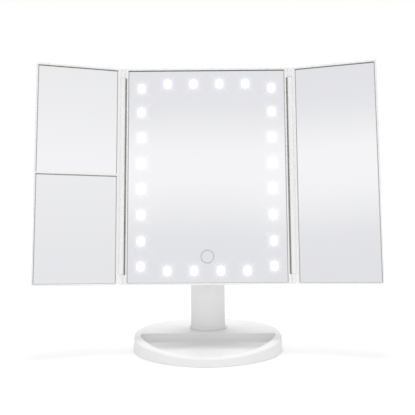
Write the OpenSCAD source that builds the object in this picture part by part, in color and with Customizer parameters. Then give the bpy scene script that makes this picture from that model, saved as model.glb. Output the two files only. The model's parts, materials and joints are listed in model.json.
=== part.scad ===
// Tri-fold make-up mirror: a lamp-lit centre mirror between two folding wings, on a tilting pillar
// with an oval tray base. Millimetres. +X right, -Y towards the user, +Z up. The origin is the
// centre of the base, on the surface it stands on.

/* [Base] */
// Half of the oval base's width, at its foot
base_half_w = 75; // [62:1:90]
// Half of the oval base's depth, at its foot
base_half_d = 59; // [49:1:71]
// Radius of the oval's tight ends, as a share of the half depth
base_fullness = 0.85; // [0.8:0.01:0.9]
// How much the base's side wall leans in from foot to crown
base_draft = 1.2; // [0.5:0.1:2]
// Height of the crown, the highest line of the base's top
crown_z = 16.7; // [15:0.1:21]
// How far behind the centre the crown line lies
crown_y = 42.5; // [35:0.5:50]
// Radius of the gently arched top, about a line along X
crown_r = 566; // [480:1:680]
// Thickness of the base's side wall and roof
base_wall = 2.4; // [1.8:0.1:2.9]
// Gap between the surface and the base's side wall, which the pad leaves
foot_gap = 0.6; // [0.4:0.1:0.8]

/* [Tray] */
// Height of the tray's floor
tray_floor_z = 6; // [5:0.1:7.2]
// Distance of the tray's straight back wall behind the centre
tray_back_y = 1.6; // [0:0.1:3]
// Width of the rim in front of the tray, at the base's foot
tray_front_rim = 5.4; // [4.8:0.1:7]
// Width of the rim beside the tray, at the base's foot
tray_side_rim = 5.9; // [5:0.1:8]
// Size of the bevel that blunts the tray's two back corners
tray_corner = 2; // [1:0.5:4]
// Thickness of the tray's walls and floor
tray_wall = 1.8; // [1.4:0.1:2.2]

/* [Base inside] */
// Thickness of the anti-slip pad
pad_t = 1.2; // [1:0.1:1.5]
// Thickness of the bottom plate
plate_t = 1.5; // [1.2:0.1:1.8]
// Gap between the ballast and the base's roof
weight_roof_gap = 1.4; // [0.8:0.1:4]
// Gap between the ballast and the screw posts behind it
weight_back_gap = 2.6; // [1:0.1:5]
// Gap between the ballast and the screw posts beside it
weight_side_gap = 5.5; // [1:0.5:12]

/* [Pillar] */
// Width of the pillar
column_w = 35.2; // [30:0.1:42]
// Depth of the pillar through its bowed front and back
column_d = 22; // [20:0.5:24]
// How far the pillar's front and back bow out
column_bow = 6.6; // [5:0.1:8]
// Distance of the pillar's centre behind the base's centre
column_y = 21.6; // [20:0.1:24]
// Height of the tilt axis
pivot_z = 100; // [92:1:120]
// Wall of the pillar's two shells
column_wall = 2; // [1.6:0.1:2.4]
// How far the collar at the foot stands out
collar_lip = 1.3; // [1:0.1:2]
// Height of that collar
collar_h = 1.8; // [1.2:0.1:2.5]
// Width of the steel core
core_w = 24; // [20:1:28]
// Thickness of the steel core
core_t = 3; // [2.5:0.1:3.5]

/* [Tilt joint] */
// How far the head leans back at rest, in degrees
tilt = 9; // [0:1:20]
// Radius of the tilt shaft
shaft_r = 3; // [2.5:0.1:3.5]
// Thickness of the yoke's ears
ear_t = 4; // [3:0.1:5]
// Radius of the yoke's ears
ear_r = 10; // [9:0.5:11]
// Thickness of the yoke's web
yoke_web_t = 2; // [1.6:0.1:2.2]

/* [Head] */
// Height of the centre panel and of both wings
panel_h = 220; // [184:1:264]
// Width of the centre panel
panel_w = 162; // [144:1:195]
// Width of the rim beside the centre mirror
rim_side = 1.5; // [1.2:0.1:2.2]
// Width of the rim above and below every mirror
rim_end = 2; // [1.5:0.1:3]
// How far the mirrors lie behind the rims
recess = 1.4; // [1:0.1:2]
// Thickness of every mirror
mirror_t = 2.8; // [2:0.1:3]
// Thickness of the tape behind every mirror
tape_t = 0.5; // [0.4:0.1:0.8]
// Thickness of the front frame's inner plate
web_t = 1.8; // [1.5:0.1:2]
// Depth of the back cover
cover_d = 6; // [6:0.1:8]
// Wall of the back cover
cover_wall = 2; // [1.6:0.1:2.2]
// Gap between the yoke's web and the pillar
pivot_gap = 2; // [1:0.1:5]
// Distance of the tilt axis above the panel's lower edge
pivot_up = 38; // [36:1:44]

/* [Lamps] */
// Half width of a lamp's light window, and its end radius
window_r = 3.5; // [3:0.1:3.8]
// Length of a window's straight sides
window_straight = 2; // [1:0.1:3]
// Distance of the lamp columns from the panel's sides
lamp_side = 15; // [10:0.5:20]
// Distance of the lamp rows from the panel's ends
lamp_end = 15.2; // [11:0.1:20]
// How far each corner lamp lies inside its row
corner_drop = 4.5; // [0:0.1:8]
// How far the corner lamps are drawn in from even spacing
corner_shift = 1.4; // [0:0.1:4]
// How far the middle of the pattern lies below the panel's middle
lamp_drop = 1.2; // [0:0.1:2]
// Height of the touch ring above the panel's lower edge
touch_z = 28; // [25:0.5:32]
// Outer radius of the touch ring
touch_r = 6.9; // [5.5:0.1:8]
// Width of the touch ring's line
touch_line = 1.2; // [0.8:0.1:1.4]

/* [Wings] */
// Distance of a hinge axis outside the centre panel's side
hinge_out = 4; // [3.8:0.1:4.5]
// How far the wings are folded forward from flat at rest, in degrees
wing_fold = 14.5; // [0:0.5:30]
// Gap between the rims when a wing is closed
fold_gap = 0.6; // [0.4:0.1:1]
// Gap between the two wings when both are closed
wing_gap = 0.8; // [0.5:0.1:2]
// Distance of a wing's inner side from its hinge axis
wing_in = 2.9; // [2.8:0.1:3.3]
// Width of the rim beside a wing's mirror, at the hinge
wing_rim_in = 2.1; // [1.8:0.1:2.5]
// Width of the rim beside a wing's mirror, at the outer side
wing_rim_out = 1.7; // [1.4:0.1:2.2]
// Thickness of a wing's inner plate
wing_web_t = 1.8; // [1.2:0.1:2.4]
// Thickness of a wing's back panel
wing_back_t = 1.5; // [1.2:0.1:1.8]
// Width of the bar between the left wing's two mirrors
divider_w = 2; // [1.5:0.1:3]
// How far that bar's middle lies above the wing's middle
divider_up = 0; // [-20:0.5:20]
// Radius of the hinge barrels and ears
barrel_r = 2.5; // [2.4:0.05:2.6]
// Length of a hinge ear
hinge_ear_h = 10.5; // [9:0.5:14]
// Radius of the hinge rods
rod_r = 1.25; // [1.1:0.05:1.35]
// Gap between a hinge barrel and the guard strip behind it
guard_gap = 0.8; // [0.5:0.1:1.2]
// Thickness of that guard strip
guard_t = 1.2; // [1:0.1:1.6]
// Length of a bush in a barrel's end
bush_h = 8; // [6:0.5:10]

/* [Power] */
// Radius of a battery cell
cell_r = 7.25; // [7:0.05:7.4]
// Length of a battery cell with its button
cell_h = 50.5; // [44:0.5:51]
// Number of cells
cell_count = 4; // [3:1:4]
// Height of the battery box's lower end above the panel's lower edge
box_z = 66; // [62:1:80]
// Wall of the battery box
box_wall = 1.8; // [1.5:0.1:2]
// Thickness of the battery door
door_t = 2; // [1.6:0.1:2.4]
// Distance of the switch and the socket from the middle
port_x = 34; // [30:0.5:38]
// Height of the switch above the panel's lower edge
switch_z = 34; // [32:0.5:36]
// Height of the charging socket above the panel's lower edge
usb_z = 50; // [48:0.5:53]
// Travel of the switch's slider
switch_travel = 3; // [2:0.1:3.5]

/* [Fits] */
// Radial gap of a shaft that turns in its bore
running_fit = 0.05; // [0.02:0.01:0.08]
// Gap round a piece that is set into another
seat_fit = 0.2; // [0.1:0.05:0.3]
// Radial gap of a screw in its thread
thread_fit = 0.02; // [0.01:0.01:0.03]

/* [Hidden] */
$fn = 96;

// Larger than anything that it cuts
far = 400;
// Overshoot of a cut past the face that it opens
over = 1;
white = [0.94, 0.94, 0.94];
silver = [0.75, 0.76, 0.78];
steel = [0.6, 0.6, 0.62];
board_green = [0.15, 0.4, 0.25];

// Oval of four arcs: end arcs about (+-end_x, 0), long arcs about (0, +-long_y)
end_r = base_fullness * base_half_d;
end_x = base_half_w - end_r;
long_r = (end_x * end_x + base_half_d * base_half_d - end_r * end_r) / (2 * (base_half_d - end_r));
long_y = long_r - base_half_d;
// The long arcs run to join_x, a little past where they touch the end arcs
join_x = end_x + end_r * end_x / (long_r - end_r) + 1.5;
// Where the base's oval solids end, above everything that they make
oval_top_z = crown_z + 3;

// The tray is a segment of a circle, cut off by its straight back wall
tray_chord = base_half_w - tray_side_rim;
tray_rise = base_half_d - tray_front_rim + tray_back_y;
tray_r = (tray_chord * tray_chord + tray_rise * tray_rise) / (2 * tray_rise);
tray_centre_y = tray_back_y - tray_rise + tray_r;

// The pad and the ballast keep this far inside the base's foot
pad_inset = base_wall + 1.2;
plate_inset = base_wall + seat_fit;
plate_top = pad_t + plate_t;
foot_t = 3;
foot_top = plate_top + foot_t;
foot_half_w = column_w / 2 - 0.6;
foot_half_d = column_d / 2 + 1;
post_r = 3.5;
screw_r = 1.5;
screw_head_r = 2.8;
screw_head_t = 1.2;
rear_post = [22, base_half_d - 11.5];
side_post = [base_half_w - 22, tray_back_y + 13];
front_post = [38, -22];
weight_front = tray_back_y + tray_wall + 2;
weight_back = rear_post[1] - post_r - weight_back_gap;
weight_half_w = side_post[0] - post_r - weight_side_gap;
// The roof is lowest over the ballast's front edge
weight_top = crown_z - pow(crown_y - weight_front, 2) / (2 * crown_r) - base_wall - weight_roof_gap;
weight_slot_w = foot_half_w + 2.5;
weight_slot_back = column_y + foot_half_d + 3;
post_places = [for (p = [rear_post, side_post, front_post], s = [-1, 1]) [s * p[0], p[1]]];
// Places of the base's screws, each with the height of its tip
base_screw_set = [
    for (p = post_places) [p, p[1] < tray_back_y ? tray_floor_z - 1 : plate_top + 8]
];
weight_screw_tip = plate_top + 6;
weight_screw_places = [for (s = [-1, 1]) [s * (weight_half_w - 12), weight_front + 10]];
foot_screw_places = [for (x = [-1, 1], y = [-1, 1]) [x * 12, column_y + y * 7]];

column_half_w = column_w / 2;
column_half_d = column_d / 2;
// Radius of the pillar's bowed faces
bow_r = (column_half_w * column_half_w + column_bow * column_bow) / (2 * column_bow);
// Room in front of the core's edge, from the pillar's middle to its shell
core_room = sqrt(pow(bow_r - column_wall, 2) - pow(core_w / 2, 2)) - (bow_r - column_half_d);
core_eye_r = core_room - seat_fit;
shell_boss_r = 3;
shell_screw_z = [42, pivot_z - 24];
shell_head_depth = 2.6;
shell_head_t = 1.6;
shell_split_y = column_y + core_t / 2 + 1.5;
shell_head_y = column_y + column_half_d - shell_head_depth;
shell_tip_y = column_y - column_half_d + column_wall + 1;

ear_in = column_half_w + 0.6;
ear_out = ear_in + ear_t;
bush_wall = 1;
bush_flange_t = 0.5;
washer_t = 0.6;
bush_out_r = shaft_r + running_fit + bush_wall;
bush_flange = 2;
bolt_head_t = 3;
bolt_head_r = 5;
nut_t = 4;
shaft_end = ear_out + 2 * washer_t + nut_t + 0.8;
cap_wall = 1.2;
cap_r = 8.4;
cap_depth = washer_t * 2 + nut_t + 1.6;
yoke_half_w = ear_out + 1.8;
yoke_half_h = 14;
yoke_screw_places = [for (x = [-1, 1], z = [-1, 1]) [x * 12, pivot_up + z * 10]];

panel_half_w = panel_w / 2;
hinge_x = panel_half_w + hinge_out;
mirror_half_w = panel_half_w - rim_side;
mirror_y = recess;
tape_y = mirror_y + mirror_t;
web_y = tape_y + tape_t;
baffle_y = web_y + web_t;
baffle_t = 1.4;
board_y = baffle_y + baffle_t;
board_t = 1.2;
led_t = 1;
// The frame is deep enough for the lamp board and the leads behind it
frame_d = board_y + board_t + 0.9;
head_d = frame_d + cover_d;
cover_in_y = head_d - cover_wall;
rim_to_pivot = head_d + yoke_web_t + pivot_gap + column_d / 2;
touch_spring_r = 3;
touch_spring_wire = 0.6;
touch_line_depth = 0.6;
tape_inset = 2;
lamp_x = panel_half_w - lamp_side;
lamp_row_z = panel_h / 2 - lamp_end;
lamp_corner_z = lamp_row_z - corner_drop;
lamp_pitch = 2 * (lamp_corner_z + corner_shift) / 7;
ring_half_w = lamp_x + 8.5;
ring_in_w = lamp_x - 9;
lamp_mid_z = panel_h / 2 - lamp_drop;
ring_low = lamp_mid_z - lamp_row_z - 9;
ring_high = lamp_mid_z + lamp_row_z + 9;
ring_band = 17.6;
row_pitch = lamp_x * 2 / 5;
lamp_places = concat(
    [for (s = [-1, 1], k = [-2.5:1:2.5]) [s * lamp_x, lamp_mid_z + k * lamp_pitch]],
    [for (s = [-1, 1], t = [-1, 1]) [s * lamp_x, lamp_mid_z + t * lamp_corner_z]],
    [for (k = [-1.5:1:1.5], t = [-1, 1]) [k * row_pitch, lamp_mid_z + t * lamp_row_z]]
);
cover_post_r = 3.2;
cover_screw_r = 1.25;
cover_screw_head_r = 2.6;
cover_screw_y = head_d - 2;
cover_screw_head_t = 1.5;
yoke_post_r = 2.8;
cover_screw_places = [
    for (x = [-1, 1], z = [34, panel_h / 2 + 28, panel_h - 34]) [x * (ring_in_w - 7), z]
];

control_y = frame_d + 0.2;
control_t = 1;
control_back = control_y + control_t;
control_left = -20;
control_right = ring_in_w - 11;
control_low = ring_low + ring_band + 1.6;
control_high = 58;
board_rest_r = 2;
usb_half_w = 3.8;
usb_half_h = 1.45;
usb_gap = 0.35;
switch_half_w = 3.2;
switch_half_h = 6.5;
slider_half_w = 1.8;
slider_half_h = 2;
slider_y = control_back + 1.5;
slider_proud = 1.2;
slot_half_w = slider_half_w + seat_fit;
slot_half_h = slider_half_h + switch_travel / 2 + seat_fit;
board_rests = [[-14, control_high - 3], [control_right - 5, control_low + 3]];

cell_pitch = 2 * cell_r + 0.1;
cell_button_h = 1.3;
contact_t = 0.5;
spring_h = 6.9;
box_in_w = cell_count * cell_pitch / 2 + 1;
box_out_w = box_in_w + box_wall;
box_in_h = cell_h + spring_h + 2 * contact_t;
box_out_h = box_in_h + 2 * box_wall;
box_floor_y = board_y + 0.1;
cell_floor_y = box_floor_y + 1.5;
cell_y = cell_floor_y + 0.3 + cell_r;
box_back_y = cell_y + cell_r + 0.5;
cell_low = box_z + box_wall + contact_t;

wing_w = hinge_x - wing_gap / 2;
axis_y = -fold_gap / 2;
barrel_low = hinge_ear_h + 0.3;
barrel_high = panel_h - barrel_low;
hinge_web_t = barrel_r + 1.5 * axis_y;
bush_r = rod_r + 0.55;
rod_end = 2;
wing_mirror_low = wing_in + wing_rim_in;
wing_mirror_high = wing_w - wing_rim_out;
wing_back_y = web_y + wing_web_t;
wing_t = wing_back_y + wing_back_t;
wing_back_rim = 1.8;
divider_z = panel_h / 2 + divider_up;
// Low and high end of each mirror's seat in a wing
lower_seat = [rim_end, divider_z - divider_w / 2];
upper_seat = [divider_z + divider_w / 2, panel_h - rim_end];
tall_seat = [rim_end, panel_h - rim_end];

// Head frame: x across, y back from the rim's front plane, z up from the panel's lower edge
module at_head() {
    translate([0, column_y, pivot_z]) rotate([-tilt, 0, 0])
        translate([0, -rim_to_pivot, -pivot_up]) children();
}

// Right wing's frame: x out from the hinge axis, y back from the wing's rim
module at_right_wing() {
    at_head() translate([hinge_x, axis_y, 0]) rotate([0, 0, -wing_fold])
        translate([0, -axis_y, 0]) children();
}

// Left wing's frame is the right one's mirror image
module at_left_wing() {
    at_head() mirror([1, 0, 0]) translate([hinge_x, axis_y, 0]) rotate([0, 0, -wing_fold])
        translate([0, -axis_y, 0]) children();
}

// Block from one corner to the opposite one
module block(low, high) {
    translate(low) cube(high - low);
}

// Cylinder along Y from y0 to y1, at [x, z]
module peg(place, r, y0, y1) {
    translate([place[0], y1, place[1]]) rotate([90, 0, 0]) cylinder(r = r, h = y1 - y0);
}

// Cylinder along X from x0 to x1
module rod_x(r, x0, x1) {
    translate([x0, 0, 0]) rotate([0, 90, 0]) cylinder(r = r, h = x1 - x0);
}

// Drafted upright cone of the oval, about [x, y]
module oval_cone(x, y, r, z0, z1) {
    lean = base_draft / oval_top_z;
    translate([x, y, z0]) cylinder(r1 = r - lean * z0, r2 = r - lean * z1, h = z1 - z0);
}

// The base's oval, moved in by inset, from z0 to z1
module oval(inset, z0, z1) {
    intersection() {
        oval_cone(0, long_y, long_r - inset, z0, z1);
        oval_cone(0, -long_y, long_r - inset, z0, z1);
        union() {
            for (s = [-1, 1]) oval_cone(s * end_x, 0, end_r - inset, z0, z1);
            block([-join_x, -far, z0], [join_x, far, z1]);
        }
    }
}

// Everything below the arched top, lowered by drop
module below_crown(drop) {
    translate([0, crown_y, crown_z - crown_r]) rotate([0, 90, 0])
        cylinder(r = crown_r - drop, h = far, center = true, $fn = 360);
}

// The tray's outline, grown by grow, with blunted back corners
module tray_outline(grow) {
    back = tray_back_y + grow;
    corner_x = tray_chord + grow - tray_corner;
    intersection() {
        translate([0, tray_centre_y]) circle(r = tray_r + grow);
        polygon([
            [-corner_x, back], [corner_x, back],
            [corner_x + far, back - far], [-corner_x - far, back - far]
        ]);
    }
}

// Section of the pillar, grown by grow: two bowed faces between flat sides
module column_section(grow) {
    intersection() {
        translate([0, column_y - column_half_d + bow_r]) circle(r = bow_r + grow);
        translate([0, column_y + column_half_d - bow_r]) circle(r = bow_r + grow);
        translate([-column_half_w - grow, column_y - far / 2])
            square([column_w + 2 * grow, far]);
    }
}

// Pillar up to its round head, grown by grow, standing at z0
module column_body(grow, z0) {
    intersection() {
        translate([0, 0, z0]) linear_extrude(far) column_section(grow);
        union() {
            block([-far, -far, z0], [far, far, pivot_z]);
            translate([0, column_y, pivot_z]) rod_x(column_half_d + grow, -far, far);
        }
    }
}

// Light window's shape along Y, grown by grow
module window_shape(place, grow, y0, y1) {
    half = window_straight / 2;
    for (s = [-1, 1]) peg([place[0], place[1] + s * half], window_r + grow, y0, y1);
    block([place[0] - window_r - grow, y0, place[1] - half],
        [place[0] + window_r + grow, y1, place[1] + half]);
}

// Screw up from below: flat countersunk head at z0, tip at z1
module screw_up(place, z0, z1) {
    translate([place[0], place[1], z0]) {
        cylinder(r1 = screw_head_r, r2 = screw_r, h = screw_head_t);
        cylinder(r = screw_r, h = z1 - z0);
    }
}

// Countersunk hole for such a screw through a plate from z0 to z1
module screw_up_hole(place, z0, z1) {
    translate([place[0], place[1], z0]) {
        cylinder(r1 = screw_head_r + running_fit, r2 = screw_r + running_fit, h = screw_head_t);
        translate([0, 0, -over]) cylinder(r = screw_r + running_fit, h = z1 - z0 + 2 * over);
    }
}

// Screw into the head from behind: countersunk head flush at y_head, tip at y_tip
module screw_in(place, y_head, y_tip) {
    peg(place, cover_screw_r, y_tip, y_head);
    translate([place[0], y_head, place[1]]) rotate([90, 0, 0])
        cylinder(r1 = cover_screw_head_r, r2 = cover_screw_r, h = screw_head_t);
}

// Countersunk hole for such a screw
module screw_in_hole(place, y_head, y_tip) {
    peg(place, cover_screw_r + running_fit, y_tip, y_head + over);
    translate([place[0], y_head, place[1]]) rotate([90, 0, 0])
        cylinder(r1 = cover_screw_head_r + running_fit, r2 = cover_screw_r + running_fit,
            h = screw_head_t);
}

// The tilt joint's frame: the head's, moved to the tilt axis
module at_pivot() {
    at_head() translate([0, rim_to_pivot, pivot_up]) children();
}

// ---- Base ----

module base_posts(grow) {
    for (p = post_places) translate([p[0], p[1], plate_top]) cylinder(r = post_r + grow, h = far);
}

module base_shell() {
    color(white) difference() {
        union() {
            difference() {
                intersection() {
                    oval(0, foot_gap, oval_top_z);
                    below_crown(0);
                }
                intersection() {
                    oval(base_wall, 0, oval_top_z);
                    below_crown(base_wall);
                }
            }
            intersection() {
                union() {
                    translate([0, 0, plate_top]) linear_extrude(oval_top_z)
                        tray_outline(tray_wall);
                    base_posts(0);
                }
                below_crown(base_wall / 2);
            }
        }
        translate([0, 0, tray_floor_z]) linear_extrude(far) tray_outline(0);
        difference() {
            translate([0, 0, pad_t]) linear_extrude(tray_floor_z - tray_wall - pad_t)
                tray_outline(-tray_wall);
            base_posts(0);
        }
        translate([0, 0, plate_top]) linear_extrude(far) column_section(seat_fit);
        for (s = base_screw_set) translate([s[0][0], s[0][1], pad_t])
            cylinder(r = screw_r + thread_fit, h = s[1] - pad_t + thread_fit);
    }
}

module base_bottom_plate() {
    color(white) difference() {
        oval(plate_inset, pad_t, plate_top);
        for (p = concat(post_places, weight_screw_places, foot_screw_places))
            screw_up_hole(p, pad_t, plate_top);
    }
}

module base_weight() {
    color(steel) difference() {
        intersection() {
            block([-weight_half_w, weight_front, plate_top],
                [weight_half_w, weight_back, weight_top]);
            oval(pad_inset, 0, oval_top_z);
        }
        block([-weight_slot_w, weight_front - over, pad_t],
            [weight_slot_w, weight_slot_back, weight_top + over]);
        for (p = weight_screw_places) translate([p[0], p[1], pad_t])
            cylinder(r = screw_r + thread_fit, h = weight_screw_tip);
    }
}

module anti_slip_pad() {
    color([0.3, 0.3, 0.32]) oval(pad_inset, 0, pad_t);
}

module base_screws() {
    color(silver) for (s = base_screw_set) screw_up(s[0], pad_t, s[1]);
}

module weight_screws() {
    color(silver) for (p = weight_screw_places) screw_up(p, pad_t, weight_screw_tip);
}

module column_foot_screws() {
    color(silver) for (p = foot_screw_places) screw_up(p, pad_t, foot_top - thread_fit);
}

// ---- Pillar ----

module column_shell_half(from_y, to_y) {
    intersection() {
        difference() {
            column_body(0, foot_top);
            column_body(-column_wall, foot_top - over);
            translate([0, column_y, pivot_z]) rod_x(shaft_r + seat_fit, -far, far);
        }
        block([-far, from_y, 0], [far, to_y, far]);
    }
}

module column_front_shell() {
    color(white) difference() {
        union() {
            column_shell_half(-far, column_y);
            for (z = shell_screw_z)
                peg([0, z], shell_boss_r, shell_tip_y - 2, shell_split_y);
        }
        for (z = shell_screw_z)
            peg([0, z], screw_r + thread_fit, shell_tip_y - thread_fit, shell_split_y + over);
    }
}

module column_rear_shell() {
    boss_r = screw_head_r + 1.4;
    color(white) difference() {
        union() {
            column_shell_half(column_y, far);
            for (z = shell_screw_z)
                peg([0, z], boss_r, shell_split_y, column_y + column_half_d - column_wall / 2);
        }
        for (z = shell_screw_z) {
            peg([0, z], screw_r + running_fit, shell_split_y - over, shell_head_y + over);
            peg([0, z], screw_head_r + seat_fit, shell_head_y, far);
        }
    }
}

module column_collar() {
    color(white) difference() {
        intersection() {
            linear_extrude(far) column_section(collar_lip);
            below_crown(-collar_h);
        }
        below_crown(0);
        linear_extrude(far) column_section(running_fit);
    }
}

module column_core() {
    color(steel) difference() {
        union() {
            block([-foot_half_w, column_y - foot_half_d, plate_top],
                [foot_half_w, column_y + foot_half_d, foot_top]);
            block([-core_w / 2, column_y - core_t / 2, plate_top],
                [core_w / 2, column_y + core_t / 2, pivot_z]);
            translate([0, column_y, pivot_z]) rod_x(core_eye_r, -core_w / 2, core_w / 2);
        }
        translate([0, column_y, pivot_z]) rod_x(shaft_r + running_fit, -far, far);
        for (z = shell_screw_z) peg([0, z], shell_boss_r + seat_fit, 0, far);
        for (p = foot_screw_places) translate([p[0], p[1], 0])
            cylinder(r = screw_r + thread_fit, h = foot_top + over);
    }
}

module column_shell_screws() {
    color(silver) for (z = shell_screw_z) {
        peg([0, z], screw_r, shell_tip_y, shell_head_y);
        peg([0, z], screw_head_r, shell_head_y, shell_head_y + shell_head_t);
    }
}

// ---- Tilt joint ----

module tilt_shaft() {
    color(silver) at_pivot() {
        rod_x(shaft_r, -ear_out, shaft_end);
        rod_x(bolt_head_r, -ear_out - bolt_head_t, -ear_out);
    }
}

module tilt_bushes() {
    color([0.25, 0.25, 0.26]) at_pivot() for (s = [0, 180]) rotate([0, 0, s]) difference() {
        union() {
            rod_x(bush_out_r, ear_in - bush_flange_t, ear_out);
            rod_x(bush_out_r + bush_flange, ear_in - bush_flange_t, ear_in);
        }
        rod_x(shaft_r + running_fit, 0, far);
    }
}

// Two dished washers, back to back
module tilt_spring_washers() {
    dish = 0.2;
    inner = shaft_r + running_fit;
    outer = bolt_head_r;
    color(silver) at_pivot() translate([ear_out, 0, 0]) rotate([0, 90, 0])
        for (m = [0, 1]) translate([0, 0, m * 2 * washer_t]) mirror([0, 0, m])
            rotate_extrude() polygon([
                [inner, dish], [outer, 0], [outer, washer_t - dish], [inner, washer_t]
            ]);
}

module tilt_nut() {
    color(silver) at_pivot() translate([ear_out + 2 * washer_t, 0, 0]) rotate([0, 90, 0])
        difference() {
            cylinder(r = bolt_head_r + 0.6, h = nut_t, $fn = 6);
            translate([0, 0, -over]) cylinder(r = shaft_r + thread_fit, h = nut_t + 2 * over);
        }
}

module tilt_caps() {
    color(white) at_pivot() for (s = [0, 180]) rotate([0, 0, s]) difference() {
        rod_x(cap_r, ear_out, ear_out + cap_depth + cap_wall);
        rod_x(cap_r - cap_wall, ear_out - over, ear_out + cap_depth);
    }
}

module hinge_yoke() {
    web_back = head_d + yoke_web_t;
    color(white) difference() {
        union() {
            at_head() block([-yoke_half_w, head_d, pivot_up - yoke_half_h],
                [yoke_half_w, web_back, pivot_up + yoke_half_h]);
            for (s = [-1, 1]) {
                side = [min(s * ear_in, s * ear_out), max(s * ear_in, s * ear_out)];
                at_head() block([side[0], web_back - over, pivot_up - ear_r],
                    [side[1], rim_to_pivot, pivot_up + ear_r]);
                at_pivot() rod_x(ear_r, side[0], side[1]);
            }
        }
        at_pivot() rod_x(bush_out_r + thread_fit, -far, far);
        at_head() for (p = yoke_screw_places) screw_in_hole(p, web_back, head_d - over);
    }
}

module yoke_screws() {
    color(silver) at_head()
        for (p = yoke_screw_places) screw_in(p, head_d + yoke_web_t, control_back + 1.2);
}

// ---- Centre panel ----

// Hinge ear, round-ended below, standing on z = 0
module hinge_ear() {
    translate([0, axis_y, 0]) rotate_extrude() {
        translate([0, barrel_r]) square([barrel_r, hinge_ear_h - barrel_r]);
        intersection() {
            translate([0, barrel_r]) circle(r = barrel_r);
            square([barrel_r, barrel_r]);
        }
    }
    block([-hinge_out - over, 0, barrel_r / 2], [0, hinge_web_t, hinge_ear_h]);
}

// Strip behind the right barrel, between the ears, which closes the slit beside it
module hinge_guard() {
    front = axis_y + barrel_r + guard_gap;
    block([-hinge_out - over, front, hinge_ear_h - over],
        [barrel_r, front + guard_t, panel_h - hinge_ear_h + over]);
}

// Places the right lower ear at all four corners
module at_corners() {
    for (left = [0, 1], top = [0, 1]) mirror([left, 0, 0])
        translate([0, 0, top * panel_h]) mirror([0, 0, top])
            translate([hinge_x, 0, 0]) children();
}

module main_frame() {
    inner_w = panel_half_w - cover_wall;
    color(white) at_head() difference() {
        union() {
            difference() {
                block([-panel_half_w, 0, 0], [panel_half_w, frame_d, panel_h]);
                block([-mirror_half_w, -over, rim_end], [mirror_half_w, web_y, panel_h - rim_end]);
                block([-inner_w, baffle_y, cover_wall],
                    [inner_w, frame_d + over, panel_h - cover_wall]);
            }
            for (p = cover_screw_places) peg(p, cover_post_r, baffle_y - web_t / 2, frame_d);
            at_corners() hinge_ear();
            for (left = [0, 1]) mirror([left, 0, 0]) translate([hinge_x, 0, 0]) hinge_guard();
        }
        for (p = lamp_places) window_shape(p, seat_fit, web_y - over, baffle_y + over);
        peg([0, touch_z], touch_r - touch_line, web_y - over, baffle_y + over);
        for (p = cover_screw_places)
            peg(p, cover_screw_r + thread_fit, baffle_y - web_t / 2, frame_d + over);
        at_corners() translate([0, axis_y, rod_end])
            cylinder(r = rod_r + thread_fit, h = hinge_ear_h);
    }
}

module main_mirror() {
    edge = running_fit * 2;
    groove = mirror_y + touch_line_depth;
    color([0.85, 0.88, 0.9]) at_head() difference() {
        block([edge - mirror_half_w, mirror_y, rim_end + edge],
            [mirror_half_w - edge, tape_y, panel_h - rim_end - edge]);
        for (p = lamp_places) window_shape(p, running_fit, mirror_y - over, tape_y + over);
        difference() {
            peg([0, touch_z], touch_r + running_fit, mirror_y - over, groove);
            peg([0, touch_z], touch_r - touch_line - running_fit, mirror_y - 2 * over, far);
        }
    }
}

module light_windows() {
    color([1, 1, 1]) at_head() for (p = lamp_places) window_shape(p, 0, mirror_y, baffle_y);
}

module touch_ring() {
    color([0.6, 0.62, 0.65]) at_head() difference() {
        peg([0, touch_z], touch_r, mirror_y, mirror_y + touch_line_depth);
        peg([0, touch_z], touch_r - touch_line, 0, far);
    }
}

module mirror_tape() {
    color([0.9, 0.9, 0.88]) at_head() difference() {
        block([tape_inset - mirror_half_w, tape_y, rim_end + tape_inset],
            [mirror_half_w - tape_inset, web_y, panel_h - rim_end - tape_inset]);
        for (p = lamp_places) window_shape(p, seat_fit, 0, far);
        peg([0, touch_z], touch_r, 0, far);
    }
}

// Flat ring that follows the lamps, from y0 to y1
module lamp_band(y0, y1) {
    difference() {
        block([-ring_half_w, y0, ring_low], [ring_half_w, y1, ring_high]);
        block([-ring_in_w, y0 - over, ring_low + ring_band],
            [ring_in_w, y1 + over, ring_high - ring_band]);
    }
}

module lamp_baffle() {
    color([0.9, 0.9, 0.9]) at_head() difference() {
        lamp_band(baffle_y, board_y);
        for (p = lamp_places) peg(p, window_r - 0.5, 0, far);
    }
}

module led_board() {
    color(board_green) at_head() lamp_band(board_y, board_y + board_t);
}

module leds() {
    half = 1.5;
    color([1, 0.95, 0.7]) at_head() for (p = lamp_places)
        block([p[0] - half, board_y - led_t, p[1] - half], [p[0] + half, board_y, p[1] + half]);
}

module control_board() {
    color(board_green) at_head()
        block([control_left, control_y, control_low], [control_right, control_back, control_high]);
}

module control_chips() {
    // Each chip's middle, width and height
    chips = [[13, 40, 7, 7], [-9, 44, 6, 8], [26, 32, 5, 4], [24, 44, 4, 5]];
    color([0.12, 0.12, 0.13]) at_head() for (c = chips)
        block([c[0] - c[2] / 2, control_y - 1.1, c[1] - c[3] / 2],
            [c[0] + c[2] / 2, control_y, c[1] + c[3] / 2]);
}

module touch_spring() {
    color(silver) at_head() difference() {
        peg([0, touch_z], touch_spring_r, tape_y, control_y);
        peg([0, touch_z], touch_spring_r - touch_spring_wire, 0, far);
    }
}

module usb_socket() {
    mouth = head_d - 0.3;
    wall = 0.45;
    tongue_half_w = 1.8;
    tongue_t = 0.5;
    color(silver) at_head() difference() {
        block([port_x - usb_half_w, control_back, usb_z - usb_half_h],
            [port_x + usb_half_w, mouth, usb_z + usb_half_h]);
        difference() {
            block([port_x - usb_half_w + wall, control_back + wall, usb_z - usb_half_h + wall],
                [port_x + usb_half_w - wall, mouth + over, usb_z + usb_half_h - wall]);
            block([port_x - tongue_half_w, control_back, usb_z],
                [port_x + tongue_half_w, mouth - wall, usb_z + tongue_t]);
        }
    }
}

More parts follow.
